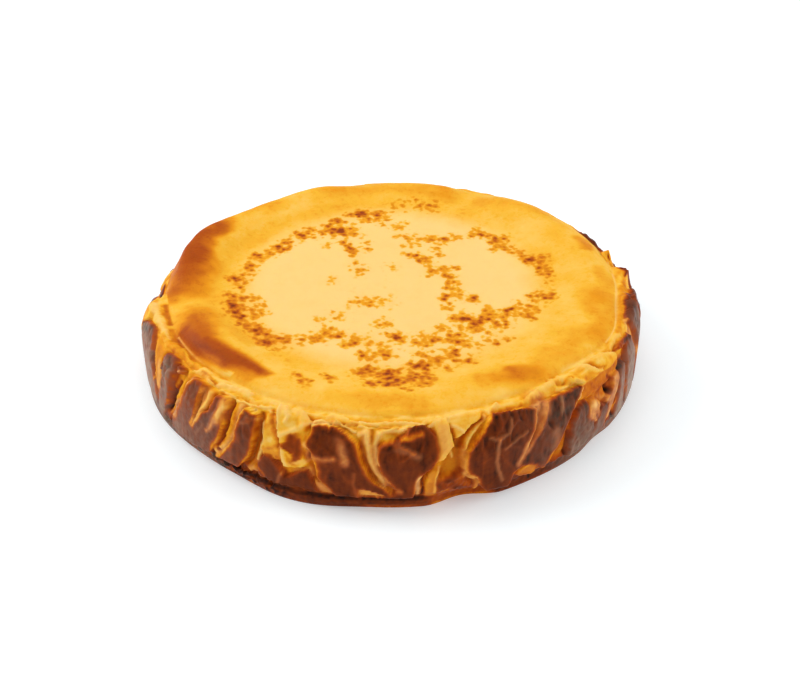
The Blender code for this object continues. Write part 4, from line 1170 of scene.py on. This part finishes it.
def paintFoot(paint, row, height):
    look = footLook
    angle = paint.angle
    lip = fadeOut(row, *look["lipEnd"])
    clear = spanShare(angle, *look["grooveSpan"])
    tucked = spanShare(angle, *look["tuckedSpan"])
    crumbly = spanShare(angle, *look["crumblySpan"])
    tone = blend(look["restTone"] + 0.0 * angle, look["lipTone"], clear)
    tone = blend(tone, look["tuckedTone"], tucked)
    everywhere, more = look["crumbTone"]
    tone += (everywhere + more * crumbly) * paint.fine + 0.08 * paint.broad
    goldEdge = spanShare(angle, *look["goldEdgeSpan"]) * fadeOut(height, *look["goldEdgeTop"])
    tone = blend(tone, look["goldEdgeTone"], 0.9 * goldEdge)
    tone = blend(tone, tone - look["edgePaler"], fadeOut(height, *look["edgeTop"]) * (1.0 - 0.5 * clear))
    paint.tone = blend(paint.tone, tone, lip)
    # painted shadow in the groove between the foot's lip and the wall
    level = height - look["grooveHeight"] - 0.8 * paint.broad
    groove = (0.35 + 0.65 * clear) * (1.0 - tucked) * ease(1.3 - np.abs(level) / look["grooveWidth"])
    groove = groove * (0.85 + 0.6 * paint.broad).clip(0.0, 1.0)
    paint.tone = blend(paint.tone, look["grooveShade"], groove)
    paint.pale = paint.pale * (1.0 - lip)
    # painted sheen on the foot at the sides
    paintedSheen = look["sideSheen"] * fadeIn(np.abs(angle), *look["sideSheenFrom"])
    paint.paintedSheen = blend(paint.paintedSheen, paintedSheen, lip)
    return crumbly


def paintLedge(paint, row, points):
    look = ledgeLook
    tone = look["tone"] + 0.0 * paint.tone
    for middle, width, amount in look["baked"]:
        tone += amount * hump(turnFrom(paint.angle, middle), width)
    # heights are spread by the row, as the ledge is nearly level
    layered = np.concatenate((points[:, :2], np.full((len(points), 1), 6.0 * row)), axis=1)
    folds = noiseOf(layered, "ledgeFolds")
    lumps = noiseOf(layered, "ledgeLumps")
    crumbs = noiseOf(points, "ledgeCrumbs")
    creaseRow, wander, halfWidth = look["crease"]
    fromCrease = row - creaseRow + wander * noiseOf(points, "creaseWaves")
    gaps = np.clip(0.4 + 1.7 * noiseOf(points, "creaseGaps"), 0.0, 1.2)
    # painted shade along the crease, broken in places
    tone += look["creaseShade"] * hump(fromCrease, halfWidth) * gaps
    # painted light and shade that follow the ledge's folds, crumbs and lumps
    foldShading, crumbTone, lumpShading = look["unevenShading"]
    tone += foldShading * folds + crumbTone * crumbs + lumpShading * lumps
    crumbly = spanShare(paint.angle, *look["crumblySpan"])
    bump = look["crumple"] * (0.25 + 0.75 * crumbly) * folds
    bump = bump + look["crumbs"] * crumbly * crumbs + look["lumps"] * lumps
    bump = bump * fadeIn(row, *look["bumpStart"]) * fadeOut(row, *look["bumpEnd"])
    if row > rowOf["rim"]:
        share = np.full_like(tone, float(fadeIn(row, *look["overRim"])))
    else:
        share = fadeIn(row, *look["underRim"]) * fadeOut(paint.tone, *look["paleUnder"])
    paint.tone = blend(paint.tone, tone, share)
    paint.pale = blend(paint.pale, look["pale"], share)
    return bump


def paintRing(paint, row, points, radius):
    look = topLook
    x, y = points[:, 0], points[:, 1]
    ring = float(fadeIn(row, rowOf["ringStart"], look["ringFade"]))
    slow = noiseOf(points, "ringWaves")
    broad, fray = look["toastWander"]
    wander = broad * noiseOf(points, "toastEdge") + fray * noiseOf(points, "toastFray")
    tone = look["ringTone"] + 0.05 * slow
    for places, halfWidths, amount in toastAndHighlights:
        tone = tone + amount * planStroke(x + wander, y - wander, places, halfWidths)
    start, end = look["discEdge"]
    disc = fadeOut(radius, end, end - start)
    tone = blend(tone, look["discTone"] + 0.03 * slow, disc)
    paint.tone = blend(paint.tone, tone, ring)
    paint.pale = blend(paint.pale, look["discPale"] * disc, ring)
    paint.freckle = freckleAt(x, y) * ring
    return (look["ringWaves"] * slow * fadeOut(row, *look["ringEnd"])
            + look["discWaves"] * slow * fadeIn(row, *look["discStart"]))


def paintWall(paint, row, height, points):
    look = wallLook
    aside = np.abs(paint.angle)
    paint.addValleys(points)
    if row < rowOf["sheetsEnd"]:
        paint.addSheets()
        paint.addWrinkles(points)
    crumbly = paintFoot(paint, row, height) if row < rowOf["footEnd"] else 0.0
    bump = paintLedge(paint, row, points) if row > rowOf["ledgeStart"] else 0.0
    paint.relief = paint.relief * fadeOut(row, *look["reliefEnd"])
    paint.addStrips()
    paint.shadeHollows()
    fuller, share = look["sideRelief"]
    paint.relief = blend(paint.relief, fuller, share * fadeIn(aside, *look["sideFrom"]))
    behind = fadeIn(row, *look["backRows"]) * fadeIn(aside, *look["backFrom"])
    behind = behind * (1.0 - spanShare(paint.angle, *look["backTipsSpan"]))
    paint.tone = blend(paint.tone, look["backTone"] + 0.08 * paint.broad, behind)
    start, later, rows = look["bodyRise"]
    low = start + later * spanShare(paint.angle, *cake["clearFoot"], 8.0)
    body = fadeIn(row, low, rows) * fadeOut(row, rowOf["wallEnd"], 1.0) * (1.0 - 0.9 * behind)
    relief = body * paint.relief + bump
    if row <= footLook["crumbEnd"]:
        everywhere, more = footLook["crumbRelief"]
        uneven = 0.5 * paint.fine + 0.4 * paint.broad
        relief += (everywhere + more * crumbly) * row * (1.0 - body) * uneven
    # painted shade in the low valleys of the wall
    paint.deepShaded = fadeIn(-paint.relief, *look["shadeFromDepth"]) * (1.0 - behind)
    paint.deepShaded = paint.deepShaded * fadeOut(row, *look["shadeEndRows"])
    return relief


def chartHeight(row, height, rimHeight):
    rim = rowOf["rim"]
    level = chartPlan["rimHeight"]
    if row > rim:
        return np.full_like(height, level + chartPlan["ledgeStep"] * (row - rim))
    return height * (1.0 + (level / rimHeight - 1.0) * fadeIn(row, rim - 1.0, 1.0))


def heldByTin(radius):
    over = np.maximum(radius - cake["tinRadius"] + cake["tinSoftness"], 0.0)
    squeezed = cake["tinRadius"] - cake["tinSoftness"] * np.exp(-over / cake["tinSoftness"])
    return np.where(over > 0.0, squeezed, radius)


def onTurn(radius, height, turn):
    return np.stack((radius * np.sin(turn), -radius * np.cos(turn), height), axis=1)


def paintRow(row, angles):
    controls = controlPoints(angles)
    place, normal = splineAt(controls, row)
    radius, height = place
    turn = np.radians(angles)
    points = onTurn(radius, height, turn)
    rimHeight = controls[int(rowOf["rim"]), 1]
    paint = Paint(angles, chartHeight(row, height, rimHeight), points)
    if row < rowOf["wallEnd"]:
        relief = paintWall(paint, row, height, points)
    else:
        relief = paintLedge(paint, row, points) if row < rowOf["ledgeEnd"] else 0.0
    if row > rowOf["ringStart"]:
        relief = relief + paintRing(paint, row, points, radius)
    radius, height = place + normal * relief
    radius = heldByTin(np.maximum(radius, 0.0))
    height = np.maximum(height, 0.0) if row > 0.0 else np.zeros_like(radius)
    return onTurn(radius, height, turn) * mm, paint.layers()


# where the row above has half as many corners, three triangles take the place of four
def joinRows(faces, lower, upper):
    if len(lower) == len(upper):
        after = np.roll(lower, -1)
        above = np.roll(upper, -1)
        faces.append(np.stack((lower, after, above), axis=1))
        faces.append(np.stack((lower, above, upper), axis=1))
        return
    left, middle, right = lower[0::2], lower[1::2], np.roll(lower, -2)[0::2]
    above = np.roll(upper, -1)
    faces.append(np.stack((left, middle, upper), axis=1))
    faces.append(np.stack((middle, above, upper), axis=1))
    faces.append(np.stack((middle, right, above), axis=1))


def buildMesh():
    corners = []
    looks = []
    faces = []
    count = 0
    below = None
    for row in rowList():
        corner, look = paintRow(row, columnAngles(columnsAt(row)))
        here = np.arange(count, count + len(corner))
        count += len(corner)
        corners.append(corner)
        looks.append(look)
        if below is not None:
            joinRows(faces, below, here)
        else:
            first = here
        below = here
    corners.append(np.array(((0.0, 0.0, cake["centreHeight"] * mm), (0.0, 0.0, 0.0))))
    looks.append(np.array((looks[-1].mean(axis=0), looks[0].mean(axis=0))))
    faces.append(np.stack((below, np.roll(below, -1), np.full_like(below, count)), axis=1))
    faces.append(np.stack((np.roll(first, -1), first, np.full_like(first, count + 1)), axis=1))
    corners = np.concatenate(corners)
    looks = np.concatenate(looks)
    faces = np.concatenate(faces)
    mesh = bpy.data.meshes.new("creamy_cheesecake")
    mesh.from_pydata(corners.tolist(), [], faces.tolist())
    for name, values in zip(crustLook["layers"], looks.T):
        attribute = mesh.attributes.new(name, "FLOAT", "POINT")
        attribute.data.foreach_set("value", values.astype(np.float32))
    mesh.shade_smooth()
    print("cake mesh:", len(corners), "corners,", len(faces), "triangles")
    return mesh


# the crust's colours, with painted shade in the valleys and a painted sheen, and its finish

crustLook = {
    "layers": ("bake", "cream", "freckle", "deepShaded", "paintedSheen"),
    # how baked, then the colour on screen
    "ramp": (
        (0.0, (252, 204, 98)), (0.10, (249, 185, 50)), (0.20, (239, 156, 22)), (0.32, (214, 119, 12)),
        (0.45, (181, 81, 8)), (0.58, (154, 63, 8)), (0.72, (126, 51, 7)), (0.86, (101, 39, 5)),
        (1.0, (40, 14, 4)),
    ),
    "cream": (252, 220, 158),
    "creamBake": (0.08, 0.55, 0.40),    # the cream wears off between these, down to this share
    # painted shade in the deep valleys: the dark gold that the batter's yellow turns in shadow
    "deepShaded": (182, 104, 6),
    "shadeBake": (0.45, 0.65),
    # greyish painted sheen, standing in for light reflected off the browned crust
    "paintedSheen": (162, 130, 108),
    "sheenBake": (0.34, 0.62),
    "albedo": 0.88,                 # the lamps give a little more than full light
    # freckles: where each shade of a dab starts and is full, and how much browner it is
    "freckleShades": ((0.02, 0.50, 0.13), (0.42, 1.05, 0.15), (0.85, 1.60, 0.30)),
    "freckleFrom": (0.02, 0.20),
    "freckleWash": (0.7, 0.05),     # a faint brown between the dabs
    "freckleContrast": 1.7,
    "freckleCream": 0.16,           # freckles this brown have no cream left
    "dabSize": 3.1,                 # mm
    "dabShare": 0.66,
    "dabMiddle": 0.42,
    "specks": (0.02, 0.16),
    "speckBake": (0.01, 0.07, 0.035),
    "mottleTone": 0.10,
    "grainTone": 0.04,
    "grainBump": 0.25,
    # fine patterns: size in mm, detail, roughness
    "freckleGrain": (2.8, 1.4, 0.45),
    "speckGrain": (2.4, 3.0, 0.6),
    "mottleGrain": (5.0, 3.0, 0.55),
    "fineGrain": (0.9, 2.0, 0.55),
    "wrinkleGrain": (2.2, 3.0, 0.55),
    "wrinkleBump": (0.25, 1.0),     # pale, then browned crust
    "wrinkleBake": (0.1, 0.5),
    "roughness": (0.56, 0.40),      # pale, then browned crust
    "roughnessBake": (0.2, 0.7),
    "specular": 0.07,
    "scatter": 0.30,
    "scatterReach": (3.6, 1.3, 0.4),
    "bumpDepth": 0.25,              # mm
    "bumpStrength": 0.8,
}


def fromScreen(colour):
    parts = [((c / 255.0 + 0.055) / 1.055) ** 2.4 for c in colour]
    return tuple(max(c, 0.001) * crustLook["albedo"] for c in parts) + (1.0,)


def addNode(tree, kind, settings=None, inputs=None):
    made = tree.nodes.new(kind)
    for key, value in (settings or {}).items():
        setattr(made, key, value)
    for key, value in (inputs or {}).items():
        if isinstance(value, bpy.types.NodeSocket):
            tree.links.new(value, made.inputs[key])
        else:
            made.inputs[key].default_value = value
    return made


def reckon(tree, operation, first, second=0.0, third=0.0, clamped=False):
    made = addNode(tree, "ShaderNodeMath", {"operation": operation, "use_clamp": clamped},
                   {0: first, 1: second, 2: third})
    return made.outputs[0]


def remap(tree, value, fromLow, fromHigh, toLow=0.0, toHigh=1.0):
    made = addNode(tree, "ShaderNodeMapRange", {"interpolation_type": "SMOOTHSTEP"},
                   {"Value": value, "From Min": fromLow, "From Max": fromHigh,
                    "To Min": toLow, "To Max": toHigh})
    return made.outputs[0]


def grain(tree, place, kind):
    size, detail, roughness = crustLook[kind]
    made = addNode(tree, "ShaderNodeTexNoise", {},
                   {"Vector": place, "Scale": 1.0 / (size * mm), "Detail": detail,
                    "Roughness": roughness})
    return reckon(tree, "SUBTRACT", made.outputs[0], 0.5)


def tint(tree, share, under, colour):
    made = addNode(tree, "ShaderNodeMix", {"data_type": "RGBA"},
                   {0: share, 6: under, 7: fromScreen(colour)})
    return made.outputs[2]


def freckleTone(tree, place, freckle):
    look = crustLook
    torn = grain(tree, place, "freckleGrain")
    dabs = addNode(tree, "ShaderNodeTexVoronoi", {},
                   {"Vector": place, "Scale": 1.0 / (look["dabSize"] * mm)})
    spots = reckon(tree, "ADD", torn, look["dabMiddle"] * look["dabShare"])
    spots = reckon(tree, "MULTIPLY_ADD", dabs.outputs["Distance"], -look["dabShare"], spots)
    amount = reckon(tree, "MULTIPLY_ADD", spots, look["freckleContrast"], freckle)
    brown = 0.0
    for start, full, darkerBy in look["freckleShades"]:
        brown = reckon(tree, "MULTIPLY_ADD", remap(tree, amount, start, full), darkerBy, brown)
    brown = reckon(tree, "MULTIPLY", brown, remap(tree, freckle, *look["freckleFrom"]))
    strong, wash = look["freckleWash"]
    return reckon(tree, "ADD", brown, remap(tree, freckle, 0.0, strong, 0.0, wash))


def crustMaterial():
    look = crustLook
    material = bpy.data.materials.new("baked_crust_finish")
    material.use_nodes = True
    tree = material.node_tree
    shader = tree.nodes["Principled BSDF"]
    place = addNode(tree, "ShaderNodeTexCoord").outputs["Object"]
    layers = [addNode(tree, "ShaderNodeAttribute", {"attribute_name": name}) for name in look["layers"]]
    bake, cream, freckle, deepShaded, paintedSheen = (layer.outputs["Fac"] for layer in layers)
    specks = grain(tree, place, "speckGrain")
    mottle = grain(tree, place, "mottleGrain")
    fine = grain(tree, place, "fineGrain")
    wrinkle = grain(tree, place, "wrinkleGrain")
    freckled = freckleTone(tree, place, freckle)
    tone = reckon(tree, "MULTIPLY_ADD", mottle, look["mottleTone"], bake)
    tone = reckon(tree, "MULTIPLY_ADD", fine, look["grainTone"], tone)
    start, end, darkerBy = look["speckBake"]
    specked = reckon(tree, "MULTIPLY", remap(tree, specks, *look["specks"]),
                     remap(tree, bake, start, end, 0.0, darkerBy))
    tone = reckon(tree, "ADD", reckon(tree, "ADD", tone, specked), freckled, clamped=True)
    ramp = addNode(tree, "ShaderNodeValToRGB", {}, {"Fac": tone})
    elements = ramp.color_ramp.elements
    while len(elements) < len(look["ramp"]):
        elements.new(0.5)
    for element, (position, colour) in zip(elements, look["ramp"]):
        element.position = position
        element.color = fromScreen(colour)
    start, end, least = look["creamBake"]
    whiten = reckon(tree, "MULTIPLY", cream, remap(tree, freckled, 0.0, look["freckleCream"], 1.0, 0.0))
    whiten = reckon(tree, "MULTIPLY", whiten, remap(tree, tone, start, end, 1.0, least))
    # painted shade in the deep valleys
    paintedShadeShare = reckon(tree, "MULTIPLY", deepShaded, remap(tree, tone, *look["shadeBake"], 1.0, 0.0))
    # painted sheen over the browned crust
    sheenShare = reckon(tree, "MULTIPLY", paintedSheen, remap(tree, tone, *look["sheenBake"]))
    colour = tint(tree, whiten, ramp.outputs[0], look["cream"])
    colour = tint(tree, paintedShadeShare, colour, look["deepShaded"])
    colour = tint(tree, sheenShare, colour, look["paintedSheen"])
    tree.links.new(colour, shader.inputs["Base Color"])
    shine = remap(tree, tone, *look["roughnessBake"], *look["roughness"])
    tree.links.new(shine, shader.inputs["Roughness"])
    wrinkled = remap(tree, tone, *look["wrinkleBake"], *look["wrinkleBump"])
    height = reckon(tree, "MULTIPLY", fine, look["grainBump"])
    height = reckon(tree, "MULTIPLY_ADD", wrinkle, wrinkled, height)
    bump = addNode(tree, "ShaderNodeBump", {},
                   {"Height": height, "Distance": look["bumpDepth"] * mm,
                    "Strength": look["bumpStrength"]})
    tree.links.new(bump.outputs[0], shader.inputs["Normal"])
    shader.inputs["Specular IOR Level"].default_value = look["specular"]
    shader.inputs["Subsurface Weight"].default_value = look["scatter"]
    shader.inputs["Subsurface Radius"].default_value = look["scatterReach"]
    shader.inputs["Subsurface Scale"].default_value = mm
    return material


cakeMesh = buildMesh()
cakeMesh.materials.append(crustMaterial())
cakePiece = bpy.data.objects.new("creamy_cheesecake", cakeMesh)
bpy.context.scene.collection.objects.link(cakePiece)
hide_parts("cheesecake")
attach(cakePiece, "root")
print("cake made")


# a plain pale floor and soft studio light

studio = {
    "floorSize": 3.0,
    "floorColour": (0.862, 0.920, 0.942),
    "floorRoughness": 0.9,
    "floorGlow": 0.18,
    "world": 0.52,
    # place in metres, size in metres, watts
    "lamps": (
        ((-1.2, 0.35, 0.95), 0.9, 13.0),
        ((1.25, 0.1, 0.75), 0.9, 8.0),
        ((-0.1, 0.5, 1.6), 1.2, 5.0),
        ((0.15, -1.35, 0.75), 1.0, 3.2),
    ),
    "exposure": 0.0,
}


def makeFloor():
    half = studio["floorSize"] / 2.0
    corners = [(-half, -half, 0.0), (half, -half, 0.0), (half, half, 0.0), (-half, half, 0.0)]
    mesh = bpy.data.meshes.new("floor")
    mesh.from_pydata(corners, [], [(0, 1, 2, 3)])
    floor = bpy.data.objects.new("floor", mesh)
    bpy.context.scene.collection.objects.link(floor)
    material = bpy.data.materials.new("pale_floor")
    material.use_nodes = True
    shader = material.node_tree.nodes["Principled BSDF"]
    shader.inputs["Base Color"].default_value = studio["floorColour"] + (1.0,)
    shader.inputs["Roughness"].default_value = studio["floorRoughness"]
    shader.inputs["Specular IOR Level"].default_value = 0.0
    shader.inputs["Emission Color"].default_value = (1.0, 1.0, 1.0, 1.0)
    shader.inputs["Emission Strength"].default_value = studio["floorGlow"]
    mesh.materials.append(material)


def makeLights():
    for index, (place, size, watts) in enumerate(studio["lamps"]):
        data = bpy.data.lights.new("softbox_%d" % index, "AREA")
        data.shape = "SQUARE"
        data.size = size
        data.energy = watts
        lamp = bpy.data.objects.new("softbox_%d" % index, data)
        lamp.location = place
        lamp.rotation_euler = (-Vector(place)).to_track_quat("-Z", "Y").to_euler()
        bpy.context.scene.collection.objects.link(lamp)
    world = bpy.data.worlds.new("studio")
    world.use_nodes = True
    background = world.node_tree.nodes["Background"]
    background.inputs[0].default_value = (1.0, 1.0, 1.0, 1.0)
    background.inputs[1].default_value = studio["world"]
    bpy.context.scene.world = world
    bpy.context.scene.view_settings.view_transform = "Standard"
    bpy.context.scene.view_settings.exposure = studio["exposure"]


makeFloor()
makeLights()
print("floor and lights set")
